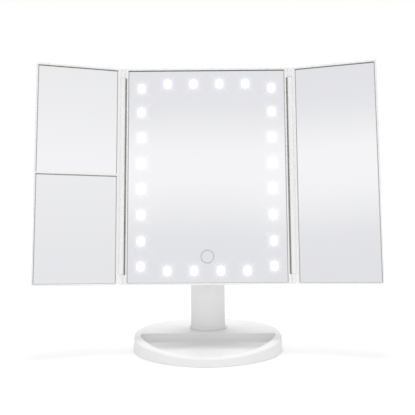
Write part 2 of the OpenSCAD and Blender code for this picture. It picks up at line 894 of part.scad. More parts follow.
module power_switch_body() {
    color([0.15, 0.15, 0.16]) at_head() difference() {
        block([port_x - switch_half_w, control_back, switch_z - switch_half_h],
            [port_x + switch_half_w, cover_in_y, switch_z + switch_half_h]);
        block([port_x - slot_half_w, slider_y - seat_fit, switch_z - slot_half_h],
            [port_x + slot_half_w, far, switch_z + slot_half_h]);
    }
}

module power_switch_slider() {
    low = switch_z - switch_travel / 2 - slider_half_h;
    color([0.2, 0.2, 0.22]) at_head()
        block([port_x - slider_half_w, slider_y, low],
            [port_x + slider_half_w, head_d + slider_proud, low + 2 * slider_half_h]);
}

module back_cover() {
    inner_w = panel_half_w - cover_wall;
    box_top = box_z + box_out_h;
    color(white) at_head() difference() {
        union() {
            difference() {
                block([-panel_half_w, frame_d, 0], [panel_half_w, head_d, panel_h]);
                block([-inner_w, frame_d - over, cover_wall],
                    [inner_w, cover_in_y, panel_h - cover_wall]);
            }
            for (p = cover_screw_places) peg(p, cover_post_r, frame_d, cover_in_y + over);
            for (p = yoke_screw_places) peg(p, yoke_post_r, control_back + 0.3, cover_in_y + over);
            for (p = board_rests) peg(p, board_rest_r, control_back, cover_in_y + over);
            block([-box_out_w, box_floor_y, box_z], [box_out_w, box_back_y, box_top]);
        }
        block([-box_in_w, cell_floor_y, box_z + box_wall],
            [box_in_w, box_back_y + over, box_top - box_wall]);
        for (p = cover_screw_places) {
            peg(p, cover_screw_r + running_fit, 0, far);
            peg(p, cover_screw_head_r + seat_fit, cover_screw_y, far);
        }
        for (p = yoke_screw_places)
            peg(p, cover_screw_r + thread_fit, control_back, head_d + over);
        block([port_x - usb_half_w - usb_gap, cover_in_y - over, usb_z - usb_half_h - usb_gap],
            [port_x + usb_half_w + usb_gap, head_d + over, usb_z + usb_half_h + usb_gap]);
        block([port_x - slot_half_w, cover_in_y - over, switch_z - slot_half_h],
            [port_x + slot_half_w, head_d + over, switch_z + slot_half_h]);
    }
}

module back_cover_screws() {
    color(silver) at_head() for (p = cover_screw_places) {
        peg(p, cover_screw_r, baffle_y + 0.5, cover_screw_y);
        peg(p, cover_screw_head_r, cover_screw_y, cover_screw_y + cover_screw_head_t);
    }
}

// ---- Batteries ----

module battery_door() {
    skirt_w = box_in_w - seat_fit;
    skirt_low = box_z + box_wall + seat_fit;
    skirt_high = box_z + box_out_h - box_wall - seat_fit;
    skirt_y = box_back_y - 1.6;
    skirt_t = 1;
    color(white) at_head() {
        block([-box_out_w, box_back_y, box_z], [box_out_w, box_back_y + door_t, box_z + box_out_h]);
        difference() {
            block([-skirt_w, skirt_y, skirt_low], [skirt_w, box_back_y + over, skirt_high]);
            block([skirt_t - skirt_w, skirt_y - over, skirt_low + skirt_t],
                [skirt_w - skirt_t, box_back_y + 2 * over, skirt_high - skirt_t]);
        }
    }
}

// Puts its child at each cell's lower end, the button up in every second cell
module at_cells() {
    for (i = [0:cell_count - 1]) {
        up = i % 2;
        translate([(i - (cell_count - 1) / 2) * cell_pitch, cell_y, cell_low])
            translate([0, 0, up ? 0 : cell_h + spring_h]) mirror([0, 0, up ? 0 : 1]) children();
    }
}

module battery_cells() {
    button_r = 2.75;
    color([0.2, 0.35, 0.3]) at_head() at_cells() translate([0, 0, spring_h]) {
        cylinder(r = cell_r, h = cell_h - cell_button_h);
        cylinder(r = button_r, h = cell_h);
    }
}

module battery_springs() {
    wide = 4.6;
    narrow = 3;
    wire = 0.6;
    color(silver) at_head() at_cells() rotate_extrude() polygon([
        [wide, 0], [wide + wire, 0], [narrow + wire, spring_h], [narrow, spring_h]
    ]);
}

module battery_contact_plates() {
    half = 5.5;
    color(silver) at_head() at_cells() for (z = [-contact_t, cell_h + spring_h])
        block([-half, -half, z], [half, half, z + contact_t]);
}

module lead_wires() {
    wire_r = 0.5;
    battery_lead_z = 50;
    lamp_lead_z = 16;
    lamp_lead_h = 14;
    color([0.7, 0.1, 0.1]) at_head() {
        for (x = [4, 6.5]) translate([x, control_back + wire_r + running_fit, battery_lead_z])
            cylinder(r = wire_r, h = box_z - battery_lead_z);
        for (x = [-15, -12.5])
            translate([x, board_y + board_t + wire_r + running_fit, lamp_lead_z])
                cylinder(r = wire_r, h = lamp_lead_h);
    }
}

// ---- Wings ----

// Block over a mirror's seat from z0 to z1, grown by grow
module wing_seat(grow, y0, y1, z0, z1) {
    block([wing_mirror_low - grow, y0, z0 - grow], [wing_mirror_high + grow, y1, z1 + grow]);
}

// One wing's frame, with a mirror seat for each [low, high] in seats
module wing_frame(seats) {
    color(white) difference() {
        union() {
            block([wing_in, 0, 0], [wing_w, wing_t, panel_h]);
            block([0, 0, barrel_low], [wing_in + over, hinge_web_t, barrel_high]);
            translate([0, axis_y, barrel_low])
                cylinder(r = barrel_r, h = barrel_high - barrel_low);
        }
        for (s = seats) wing_seat(0, -over, web_y, s[0], s[1]);
        block([wing_in + wing_back_rim, wing_back_y, wing_back_rim],
            [wing_w - wing_back_rim, wing_t + over, panel_h - wing_back_rim]);
        translate([0, axis_y, 0]) {
            cylinder(r = rod_r + seat_fit, h = panel_h);
            for (z = [barrel_low - over, barrel_high - bush_h])
                translate([0, 0, z]) cylinder(r = bush_r + thread_fit, h = bush_h + over);
        }
    }
}

module wing_back() {
    inset = wing_back_rim + running_fit;
    color(white) block([wing_in + inset, wing_back_y, inset],
        [wing_w - inset, wing_t, panel_h - inset]);
}

module wing_mirror(seat) {
    color([0.85, 0.88, 0.9]) wing_seat(-running_fit * 2, mirror_y, tape_y, seat[0], seat[1]);
}

module wing_tape(seats) {
    color([0.9, 0.9, 0.88]) for (s = seats) wing_seat(-tape_inset, tape_y, web_y, s[0], s[1]);
}

module hinge_rod() {
    color(silver) translate([hinge_x, axis_y, rod_end])
        cylinder(r = rod_r, h = panel_h - 2 * rod_end);
}

module hinge_bushes() {
    color([0.25, 0.25, 0.26]) for (z = [barrel_low, barrel_high - bush_h])
        translate([0, axis_y, z]) difference() {
            cylinder(r = bush_r, h = bush_h);
            translate([0, 0, -over]) cylinder(r = rod_r + running_fit, h = bush_h + 2 * over);
        }
}

module left_wing_frame() { at_left_wing() wing_frame([lower_seat, upper_seat]); }
module left_wing_back() { at_left_wing() wing_back(); }
module left_upper_mirror() { at_left_wing() wing_mirror(upper_seat); }
module left_lower_mirror() { at_left_wing() wing_mirror(lower_seat); }
module left_mirror_tape() { at_left_wing() wing_tape([lower_seat, upper_seat]); }
module left_hinge_rod() { at_head() mirror([1, 0, 0]) hinge_rod(); }
module left_hinge_bushes() { at_left_wing() hinge_bushes(); }
module right_wing_frame() { at_right_wing() wing_frame([tall_seat]); }
module right_wing_back() { at_right_wing() wing_back(); }
module right_mirror() { at_right_wing() wing_mirror(tall_seat); }
module right_mirror_tape() { at_right_wing() wing_tape([tall_seat]); }
module right_hinge_rod() { at_head() hinge_rod(); }
module right_hinge_bushes() { at_right_wing() hinge_bushes(); }

base_shell();
base_bottom_plate();
base_weight();
anti_slip_pad();
base_screws();
weight_screws();
column_foot_screws();
column_front_shell();
column_rear_shell();
column_collar();
column_core();
column_shell_screws();
tilt_shaft();
tilt_bushes();
tilt_spring_washers();
tilt_nut();
tilt_caps();
hinge_yoke();
yoke_screws();
main_frame();
main_mirror();
light_windows();
touch_ring();
mirror_tape();
lamp_baffle();
led_board();
leds();
control_board();
control_chips();
touch_spring();
usb_socket();
power_switch_body();
power_switch_slider();
back_cover();
back_cover_screws();
battery_door();
battery_cells();
battery_springs();
battery_contact_plates();
lead_wires();
left_wing_frame();
left_wing_back();
left_upper_mirror();
left_lower_mirror();
left_mirror_tape();
left_hinge_rod();
left_hinge_bushes();
right_wing_frame();
right_wing_back();
right_mirror();
right_mirror_tape();
right_hinge_rod();
right_hinge_bushes();
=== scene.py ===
"""Looks of a tri-fold make-up mirror with a lamp-lit centre panel, on a tilting pillar and an oval
tray base. Metres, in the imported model's frame: +X right, -Y towards the user, +Z up.

The pieces are built in three local frames: the world's for the base and pillar, the head's (x across,
y back from the rims' front plane, z up from the panel's lower edge) and each wing's (x out from its
hinge axis, y and z as in the head's)."""

import json
import math

import bmesh
import bpy
from mathutils import Matrix, Vector


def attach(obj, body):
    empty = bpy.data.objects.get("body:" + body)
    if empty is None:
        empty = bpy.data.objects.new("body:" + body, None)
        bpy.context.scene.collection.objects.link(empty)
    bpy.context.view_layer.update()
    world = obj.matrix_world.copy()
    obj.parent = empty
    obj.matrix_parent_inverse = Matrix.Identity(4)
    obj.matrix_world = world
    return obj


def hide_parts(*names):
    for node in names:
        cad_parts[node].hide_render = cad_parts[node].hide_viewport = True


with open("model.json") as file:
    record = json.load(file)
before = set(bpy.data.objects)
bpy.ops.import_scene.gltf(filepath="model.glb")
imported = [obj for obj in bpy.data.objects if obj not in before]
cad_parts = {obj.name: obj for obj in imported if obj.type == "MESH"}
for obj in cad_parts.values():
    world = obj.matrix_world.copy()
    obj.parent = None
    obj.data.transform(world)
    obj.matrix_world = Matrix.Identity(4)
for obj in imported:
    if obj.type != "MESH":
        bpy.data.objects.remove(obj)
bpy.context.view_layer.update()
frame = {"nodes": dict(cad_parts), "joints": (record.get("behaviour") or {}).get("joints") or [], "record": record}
NODES = frame["nodes"]
JOINTS = {joint["name"]: joint for joint in frame["joints"]}

MM = 0.001
# CAD vertices that lie closer together than this are one
WELD = 0.002 * MM

# Base: half sizes at the foot, the share that rounds the oval's ends, foot, wall and arched crown
BASE_HALF_W = 75 * MM
BASE_HALF_D = 59 * MM
BASE_FULLNESS = 0.85
BASE_FOOT_Z = 0.6 * MM
BASE_WALL = 2.4 * MM
CROWN_Y = 42.5 * MM
CROWN_Z = 16.7 * MM
CROWN_R = 566 * MM
# The side wall leans in by the draft over a height a little above the crown
BASE_DRAFT = 1.2 * MM
BASE_LEAN = BASE_DRAFT / (CROWN_Z + 3 * MM)

# Tray: floor height, straight back wall, rims in front and beside, and walls
TRAY_FLOOR_Z = 6 * MM
TRAY_BACK_Y = 1.6 * MM
TRAY_FRONT_RIM = 5.4 * MM
TRAY_SIDE_RIM = 5.9 * MM
TRAY_WALL = 1.8 * MM
TRAY_CORNER_R = 3 * MM

# Pillar: width, depth, bow of its faces, wall, foot, and the bore for the tilt shaft
COLUMN_HALF_W = 17.6 * MM
COLUMN_HALF_D = 11 * MM
COLUMN_BOW = 6.6 * MM
COLUMN_WALL = 2 * MM
COLUMN_FOOT_Z = 5.7 * MM
SHAFT_BORE_R = 3.2 * MM

# Head: rims, how deep the mirror, its seat and the inner plate lie, frame depth and wall
RIM_SIDE = 1.5 * MM
RIM_END = 2 * MM
RECESS = 1.4 * MM
SEAT_DEPTH = 4.7 * MM
WEB_BACK = 6.5 * MM
FRAME_DEPTH = 10 * MM
FRAME_WALL = 2 * MM

# Hinges: axis beside the panel and behind its front plane, barrels, ears, webs and guard strips
HINGE_OUT = 4 * MM
AXIS_Y = -0.3 * MM
BARREL_R = 2.5 * MM
EAR_H = 10.5 * MM
BARREL_GAP = 0.3 * MM
HINGE_WEB = 2.05 * MM
GUARD_GAP = 0.8 * MM
GUARD_T = 1.2 * MM

# Wings: rims at the hinge and at the outer side, depth, back, and the left wing's bar
WING_RIM_IN = 2.1 * MM
WING_RIM_OUT = 1.7 * MM
WING_DEPTH = 8 * MM
WING_BACK_RIM = 1.8 * MM
WING_BACK_Y = 6.5 * MM
DIVIDER_W = 2 * MM

# World: its light, and the share by which that is dimmer from the left and the right
WORLD_LIGHT = 0.97
WORLD_SIDES = 0.85

# Lamp above the object: power, diameter, place, and the point that it is turned to
LAMP_POWER = 10.0
LAMP_SIZE = 0.5
LAMP_SPOT = Vector((0, 0.13, 1.5))
LAMP_AIM = Vector((0, 0, 0.1))

# Floor, for the light's own rays: albedo, and light of its own
FLOOR_HALF = 6.0
FLOOR_ALBEDO = 0.88
FLOOR_BOUNCE = 0.24
# Floor, as it is seen: albedo, light of its own, and what that gains as it fades the shadow out
# behind the object and far from it, each over a stretch in metres
FLOOR_SHADOW = 0.52
FLOOR_LIFT = 0.48
BEHIND_LIFT = 0.14
BEHIND_FADE = (0.08, 0.26)
FAR_LIFT = 0.3
FAR_FADE = (0.2, 0.9)

# Camera: place, angles in degrees, lens and sensor in millimetres, and how near and far it sees
CAMERA_SPOT = (0.0042, -0.561, 0.1705)
CAMERA_TURN = 0.39
CAMERA_PITCH = 2.83
CAMERA_ROLL = -0.39
CAMERA_LENS = 48.75
CAMERA_SENSOR = 36
CAMERA_NEAR = 0.01
CAMERA_FAR = 50

X_AXIS = Vector((1, 0, 0))
UP = Vector(JOINTS["left_wing_fold"]["axis"])
BACK = UP.cross(X_AXIS)
PIVOT = Vector(JOINTS["head_tilt"]["pos_m"])


# ---- Places ----


def place_of(across, back, up, origin):
    """Matrix of a local frame with these axes and origin."""
    turn = Matrix((across, back, up)).transposed()
    return Matrix.Translation(origin) @ turn.to_4x4()


def corners(points):
    """Lowest and highest corner of the box round some points."""
    low = Vector([min(p[i] for p in points) for i in range(3)])
    high = Vector([max(p[i] for p in points) for i in range(3)])
    return low, high


def extent(node, place):
    """Lowest and highest corner of a CAD node in a local frame."""
    back = place.inverted()
    return corners([back @ v.co for v in NODES[node].data.vertices])


def welded(node):
    """A CAD node's mesh, its faces joined where they meet."""
    bm = bmesh.new()
    bm.from_mesh(NODES[node].data)
    bmesh.ops.remove_doubles(bm, verts=bm.verts, dist=WELD)
    return bm


def islands(node, place):
    """Lowest and highest corner of each separate solid of a CAD node, in a local frame."""
    bm = welded(node)
    back = place.inverted()
    met = set()
    found = []
    for start in bm.verts:
        if start in met:
            continue
        met.add(start)
        queue = [start]
        group = []
        while queue:
            vert = queue.pop()
            group.append(back @ vert.co)
            fresh = {edge.other_vert(vert) for edge in vert.link_edges} - met
            met |= fresh
            queue += fresh
        found.append(corners(group))
    bm.free()
    return found


def head_place():
    """The head's frame, found from the panel's lower edge and the mirror's front."""
    rough = place_of(X_AXIS, BACK, UP, Vector((0, 0, 0)))
    low_edge = extent("back_cover", rough)[0].z
    front = extent("main_mirror", rough)[0].y - RECESS
    return rough @ Matrix.Translation((0, front, low_edge))


WORLD = Matrix.Identity(4)
HEAD = head_place()
PANEL_HALF_W = extent("back_cover", HEAD)[1].x
PANEL_H = extent("back_cover", HEAD)[1].z
FOLD = math.radians(-JOINTS["right_wing_fold"]["range_deg"][0])
RIGHT_WING = (
    HEAD
    @ Matrix.Translation((PANEL_HALF_W + HINGE_OUT, AXIS_Y, 0))
    @ Matrix.Rotation(-FOLD, 4, "Z")
    @ Matrix.Translation((0, -AXIS_Y, 0))
)
LEFT_WING = Matrix.Diagonal((-1, 1, 1, 1)) @ RIGHT_WING


# ---- Outlines ----


def arc(centre, radius, start, end, steps):
    """Points and outward normals along an arc, its angles in radians."""
    found = []
    for i in range(steps + 1):
        angle = start + (end - start) * i / steps
        normal = Vector((math.cos(angle), math.sin(angle)))
        found.append((centre + normal * radius, normal))
    return found


def crown(y):
    """Height of the base's gently arched top at this depth."""
    return CROWN_Z - CROWN_R + math.sqrt(CROWN_R**2 - (y - CROWN_Y) ** 2)


END_R = BASE_FULLNESS * BASE_HALF_D
END_X = BASE_HALF_W - END_R
LONG_R = (END_X**2 + BASE_HALF_D**2 - END_R**2) / (2 * (BASE_HALF_D - END_R))
LONG_Y = LONG_R - BASE_HALF_D


def oval_distance(point):
    """How far a point lies outside the base's foot, an oval of four arcs."""
    x = abs(point.x)
    y = abs(point.y)
    if END_X * (y + LONG_Y) - LONG_Y * x < 0:
        return math.hypot(x - END_X, y) - END_R
    return math.hypot(x, y + LONG_Y) - LONG_R


def tray_outline():
    """Points and outward normals round the tray: a segment of a circle with rounded back corners."""
    chord = BASE_HALF_W - TRAY_SIDE_RIM
    rise = BASE_HALF_D - TRAY_FRONT_RIM + TRAY_BACK_Y
    radius = (chord**2 + rise**2) / (2 * rise)
    centre = Vector((0, TRAY_BACK_Y - rise + radius))
    corner_y = TRAY_BACK_Y - TRAY_CORNER_R
    corner_x = math.sqrt((radius - TRAY_CORNER_R) ** 2 - (corner_y - centre.y) ** 2)
    turn = math.atan2(corner_y - centre.y, corner_x)
    right = arc(Vector((corner_x, corner_y)), TRAY_CORNER_R, math.pi / 2, turn, 10)
    front = arc(centre, radius, turn, -math.pi - turn, 110)
    left = arc(Vector((-corner_x, corner_y)), TRAY_CORNER_R, -math.pi - turn, -math.pi * 1.5, 10)
    steps = 40
    back = [
        (Vector((corner_x * (2 * i / steps - 1), TRAY_BACK_Y)), Vector((0, 1)))
        for i in range(1, steps)
    ]
    return right + front[1:-1] + left + back


TRAY = tray_outline()
TRAY_EYE = Vector((0, -25 * MM))


def tray_ring(grow, height):
    """The tray's outline grown by grow, at the height that height(y) gives."""
    points = [p + n * grow for p, n in TRAY]
    return [Vector((p.x, p.y, height(p.y))) for p in points]


def shrunk(ring, share):
    """A ring drawn in towards the tray's middle, left at this share of its size."""
    eye = Vector((TRAY_EYE.x, TRAY_EYE.y, ring[0].z))
    return [eye.lerp(p, share) for p in ring]


def oval_point(toward, inset):
    """Where the ray from the tray's middle through a point meets the oval, moved in by inset."""
    way = (toward - TRAY_EYE).normalized()
    near = 0
    far = 2 * BASE_HALF_W
    for _ in range(30):
        middle = (near + far) / 2
        if oval_distance(TRAY_EYE + way * middle) < -inset:
            near = middle
        else:
            far = middle
    return TRAY_EYE + way * near


def oval_ring(inset, height):
    """The base's oval on the tray's rays, leaning in with height."""
    ring = []
    for point, _ in TRAY:
        rough = oval_point(point, inset)
        lean = BASE_LEAN * height(rough.y)
        place = oval_point(point, inset + lean)
        ring.append(Vector((place.x, place.y, height(place.y))))
    return ring


def column_outline(grow):
    """Section of the pillar grown by grow, about the pillar's middle, with rounded edges."""
    half_w = COLUMN_HALF_W + grow
    half_d = COLUMN_HALF_D + grow
    radius = (COLUMN_HALF_W**2 + COLUMN_BOW**2) / (2 * COLUMN_BOW) + grow
    corner = math.asin(half_w / radius)
    blunt = 0.9 * MM
    side_y = half_d - radius + math.sqrt(radius**2 - half_w**2)
    centre = Vector((0, half_d - radius))
    spread = corner - blunt / radius
    back = [p for p, _ in arc(centre, radius, math.pi / 2 - spread, math.pi / 2 + spread, 40)]
    edge = Vector((-half_w, side_y))
    down = Vector((-half_w, side_y - blunt))
    blend = []
    for i in range(1, 6):
        t = i / 6
        blend.append(back[-1] * (1 - t) ** 2 + edge * 2 * t * (1 - t) + down * t * t)
    side = [down * (1 - i / 4) + Vector((-half_w, blunt - side_y)) * (i / 4) for i in range(5)]
    half = [Vector((-p.x, p.y)) for p in reversed(blend)] + back + blend + side[:3]
    other = [Vector((-p.x, -p.y)) for p in half]
    return half + other


def rounded_rect(low, high, radius, y, steps=5):
    """Rounded rectangle in the plane y; low and high are (x, z) corners."""
    radius = max(radius, 0.02 * MM)
    middles = (
        (high[0] - radius, high[1] - radius, 0),
        (low[0] + radius, high[1] - radius, 1),
        (low[0] + radius, low[1] + radius, 2),
        (high[0] - radius, low[1] + radius, 3),
    )
    ring = []
    for x, z, quarter in middles:
        for i in range(steps + 1):
            angle = (quarter + i / steps) * math.pi / 2
            ring.append(Vector((x + radius * math.cos(angle), y, z + radius * math.sin(angle))))
    return ring


def rounded_corner(low_x, high_x, low_z, high_z, radius):
    """Rectangle as (x, z) points, its outer lower corner rounded."""
    middle = Vector((high_x - radius, low_z + radius))
    turn = [p for p, _ in arc(middle, radius, -math.pi / 2, 0, 8)]
    return [Vector((low_x, high_z)), Vector((low_x, low_z))] + turn + [Vector((high_x, high_z))]


# ---- Meshes ----


def loft(bm, rings, loop=False):
    """Skins closed rings of points. The ends are capped, unless the rings close into a loop."""
    rows = [[bm.verts.new(p) for p in ring] for ring in rings]
    nexts = rows[1:] + rows[:1] if loop else rows[1:]
    for low, high in zip(rows, nexts):
        for i in range(len(low)):
            j = (i + 1) % len(low)
            bm.faces.new((low[i], low[j], high[j], high[i]))
    if not loop:
        bm.faces.new(rows[0])
        bm.faces.new(rows[-1])


def turned(bm, place, profile, steps=48):
    """Closed solid of revolution about local Z: profile is (radius, height), from axis to axis."""
    rings = []
    for radius, height in profile:
        circle = arc(Vector((0, 0)), radius, 0, math.tau * (steps - 1) / steps, steps - 1)
        rings.append([place @ Vector((p.x, p.y, height)) for p, _ in circle])
    loft(bm, rings)


def slab(bm, low, high, round_by, steps=2):
    """Block between two corners with its edges rounded."""
    made = bmesh.ops.create_cube(bm, size=1)
    middle = (Vector(low) + Vector(high)) / 2
    size = Vector(high) - Vector(low)
    for vert in made["verts"]:
        vert.co = Vector([vert.co[i] * size[i] + middle[i] for i in range(3)])
    edges = list({edge for vert in made["verts"] for edge in vert.link_edges})
    bmesh.ops.bevel(
        bm, geom=edges, offset=round_by, segments=steps, profile=0.5, affect="EDGES", clamp_overlap=True
    )


def tube(bm, path, radius, steps=10):
    """Round wire along a list of points, with flat ends."""
    rings = []
    side = None
    for i, point in enumerate(path):
        way = (path[min(i + 1, len(path) - 1)] - path[max(i - 1, 0)]).normalized()
        side = way.orthogonal() if side is None else side - way * side.dot(way)
        side.normalize()
        other = way.cross(side)
        ring = []
        for k in range(steps):
            angle = math.tau * k / steps
            ring.append(point + (side * math.cos(angle) + other * math.sin(angle)) * radius)
        rings.append(ring)
    loft(bm, rings)


def piece(name, bm, place, body, slot, nodes=(), soften=35, look=None):
    """Makes a piece from a mesh in a local frame, rides it on its body and gives it its finish."""
    bm.transform(place)
    bm.normal_update()
    bmesh.ops.recalc_face_normals(bm, faces=bm.faces)
    mesh = bpy.data.meshes.new(name)
    bm.to_mesh(mesh)
    bm.free()
    mesh.shade_smooth()
    mesh.set_sharp_from_angle(angle=math.radians(soften))
    obj = bpy.data.objects.new(name, mesh)
    bpy.context.scene.collection.objects.link(obj)
    mesh.materials.append(look or LOOKS[slot])
    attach(obj, body)
    if nodes:
        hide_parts(*nodes)
    return obj


def cut(obj, bm):
    """Cuts the closed shapes in bm, given in the world's frame, out of a piece."""
    mesh = bpy.data.meshes.new("cutter")
    bm.normal_update()
    bmesh.ops.recalc_face_normals(bm, faces=bm.faces)
    bm.to_mesh(mesh)
    bm.free()
    cutter = bpy.data.objects.new("cutter", mesh)
    bpy.context.scene.collection.objects.link(cutter)
    boolean = obj.modifiers.new("cut", "BOOLEAN")
    boolean.object = cutter
    boolean.solver = "EXACT"
    graph = bpy.context.evaluated_depsgraph_get()
    result = bpy.data.meshes.new_from_object(obj.evaluated_get(graph))
    obj.modifiers.remove(boolean)
    old = obj.data
    obj.data = result
    result.name = old.name
    bpy.data.meshes.remove(old)
    bpy.data.objects.remove(cutter)
    bpy.data.meshes.remove(mesh)
    result.set_sharp_from_angle(angle=math.radians(35))


def copied(node, slot, body):
    """Piece that stands for a CAD node with the same shape, its flat faces merged."""
    bm = welded(node)
    bmesh.ops.dissolve_limit(bm, angle_limit=math.radians(1), verts=bm.verts, edges=bm.edges)
    return piece(node + "_body", bm, WORLD, body, slot, [node])


def round_arrises(obj, width, segments=2, angle=35):
    """Rounds the edges sharper than an angle, and keeps large flat faces flat beside them."""
    arris = obj.modifiers.new("arris", "BEVEL")
    arris.width = width
    arris.segments = segments
    arris.limit_method = "ANGLE"
    arris.angle_limit = math.radians(angle)
    even = obj.modifiers.new("even_normals", "WEIGHTED_NORMAL")
    even.keep_sharp = True


def refined(node, slot, width, body, segments=2):
    """Stands for a CAD node with the same shape and its arrises rounded."""
    round_arrises(copied(node, slot, body), width, segments)


# ---- Materials ----


class Nodes:
    """Short ways to add nodes to a tree. Every value is a socket to link or a constant."""

    def __init__(self, tree):
        self.tree = tree

    def feed(self, socket, value):
        if isinstance(value, bpy.types.NodeSocket):
            self.tree.links.new(value, socket)
        else:
            socket.default_value = value

    def node(self, kind, **inputs):
        made = self.tree.nodes.new(kind)
        for key, value in inputs.items():
            self.feed(made.inputs[key.replace("_", " ")], value)
        return made

    def working(self, kind, operation, values):
        made = self.tree.nodes.new(kind)
        made.operation = operation
        for socket, value in zip(made.inputs, values):
            self.feed(socket, value)
        return made

    def math(self, operation, *values):
        return self.working("ShaderNodeMath", operation, values).outputs["Value"]

    def vector_math(self, operation, *values):
        return self.working("ShaderNodeVectorMath", operation, values).outputs

    def falling(self, value, reach):
        """1 where value is 0, and e times less for each reach that it grows by."""
        return self.math("POWER", math.e, self.math("DIVIDE", value, -reach))

    def spread(self, value, low, high, start=0.0, end=1.0):
        """From low to high as value goes from start to end."""
        ends = {"From_Min": start, "From_Max": end, "To_Min": low, "To_Max": high}
        return self.node("ShaderNodeMapRange", Value=value, **ends).outputs["Result"]

    def blend(self, value, first, second):
        """Colour from first to second as value goes from 0 to 1."""
        made = self.node("ShaderNodeMix")
        made.data_type = "RGBA"
        self.feed(made.inputs["Factor"], value)
        self.feed(made.inputs[6], first)
        self.feed(made.inputs[7], second)
        return made.outputs[2]

    def seen_directly(self):
        """1 for rays from the camera, in reflections and through glass, and 0 for the light's own."""
        path = self.node("ShaderNodeLightPath").outputs
        mirrored = self.math("MAXIMUM", path["Is Glossy Ray"], path["Is Transmission Ray"])
        return self.math("MAXIMUM", path["Is Camera Ray"], mirrored)


class Look(Nodes):
    """A material's nodes, round its Principled shader."""

    def __init__(self, name):
        self.material = bpy.data.materials.new(name)
        self.material.use_nodes = True
        super().__init__(self.material.node_tree)
        self.shader = self.tree.nodes["Principled BSDF"]
        self.coords = self.node("ShaderNodeTexCoord").outputs["Object"]

    def noise(self, scale, detail=3.0, stretch=None):
        coords = self.coords
        if stretch:
            coords = self.node("ShaderNodeMapping", Vector=coords, Scale=stretch).outputs["Vector"]
        return self.node("ShaderNodeTexNoise", Vector=coords, Scale=scale, Detail=detail).outputs["Fac"]

    def bump(self, height, depth):
        made = self.node("ShaderNodeBump", Height=height, Strength=1.0, Distance=depth)
        self.set(Normal=made.outputs["Normal"])

    def set(self, **inputs):
        for key, value in inputs.items():
            self.feed(self.shader.inputs[key.replace("_", " ")], value)


def rgb(value, tint=(1, 1, 1)):
    """Colour of this linear brightness, tinted."""
    return (value * tint[0], value * tint[1], value * tint[2], 1)


def moulded(name, level, tint=(1, 1, 1), roughness=0.42, grain=0.002 * MM):
    """Satin moulded plastic: fine spark-eroded grain, and faint flow mottling in colour and gloss."""
    look = Look(name)
    flow = look.noise(35, 4)
    fine = look.noise(1400, 2)
    shade = look.blend(look.spread(flow, 0, 1, 0.3, 0.7), rgb(level * 0.985, tint), rgb(level, tint))
    look.set(Base_Color=shade, Roughness=look.spread(flow, roughness - 0.04, roughness + 0.05, 0.3, 0.7))
    look.set(Specular_IOR_Level=0.45)
    look.bump(fine, grain)
    return look.material


def metal(name, level, roughness, tint=(1, 1, 1), brushed=None):
    """Bare or plated metal with fine scratches and uneven polish."""
    look = Look(name)
    cloud = look.noise(180, 3)
    lines = look.noise(900, 3, brushed or (1, 1, 1))
    look.set(Base_Color=look.blend(cloud, rgb(level * 0.86, tint), rgb(level, tint)), Metallic=1.0)
    look.set(Roughness=look.spread(lines, roughness - 0.07, roughness + 0.1, 0.3, 0.7))
    look.bump(lines, 0.006 * MM)
    return look.material


def soft_matter(name, level, tint=(1, 1, 1), scale=900, depth=0.03 * MM, roughness=0.85):
    """Matt rubber or foam with open cells."""
    look = Look(name)
    cells = look.noise(scale, 5)
    look.set(Base_Color=look.blend(cells, rgb(level * 0.8, tint), rgb(level * 1.1, tint)))
    look.set(Roughness=roughness)
    look.bump(cells, depth)
    return look.material


def circuit(name):
    """Green solder resist over copper tracks."""
    look = Look(name)
    brick = look.node("ShaderNodeTexBrick", Vector=look.coords, Scale=260.0)
    brick.inputs["Mortar Size"].default_value = 0.03
    tracks = look.spread(brick.outputs["Fac"], 0, 1)
    look.set(Base_Color=look.blend(tracks, (0.015, 0.09, 0.035, 1), (0.05, 0.2, 0.08, 1)), Roughness=0.35)
    look.bump(tracks, 0.02 * MM)
    return look.material


def cell_sleeve(name):
    """Dark green foil sleeve of a plain battery cell."""
    look = Look(name)
    grain = look.noise(500, 2)
    look.set(Base_Color=look.blend(grain, (0.03, 0.09, 0.07, 1), (0.05, 0.13, 0.1, 1)))
    look.set(Roughness=look.spread(grain, 0.22, 0.34), Metallic=0.35)
    look.bump(grain, 0.004 * MM)
    return look.material


def glow(name):
    """Lamp window: frosted acrylic that glows, a little unevenly."""
    look = Look(name)
    frost = look.noise(1500, 2)
    look.set(Base_Color=look.blend(frost, rgb(0.85), rgb(0.95)), Roughness=0.5)
    look.set(Emission_Color=(1, 0.99, 0.97, 1), Emission_Strength=look.spread(frost, 1.1, 1.3))
    look.bump(frost, 0.01 * MM)
    return look.material


def local_axes(look, place):
    """Coordinates in a local frame, as x, y and z outputs in metres."""
    back = place.inverted()
    found = []
    for axis in range(3):
        row = back[axis]
        along = look.vector_math("DOT_PRODUCT", look.coords, row.xyz)["Value"]
        found.append(look.math("ADD", along, row.w))
    return found


def lamp_places():
    """Middle of each light window, as (x, z) in the head's frame."""
    middles = [(low + high) / 2 for low, high in islands("light_windows", HEAD)]
    return [(p.x, p.z) for p in middles]


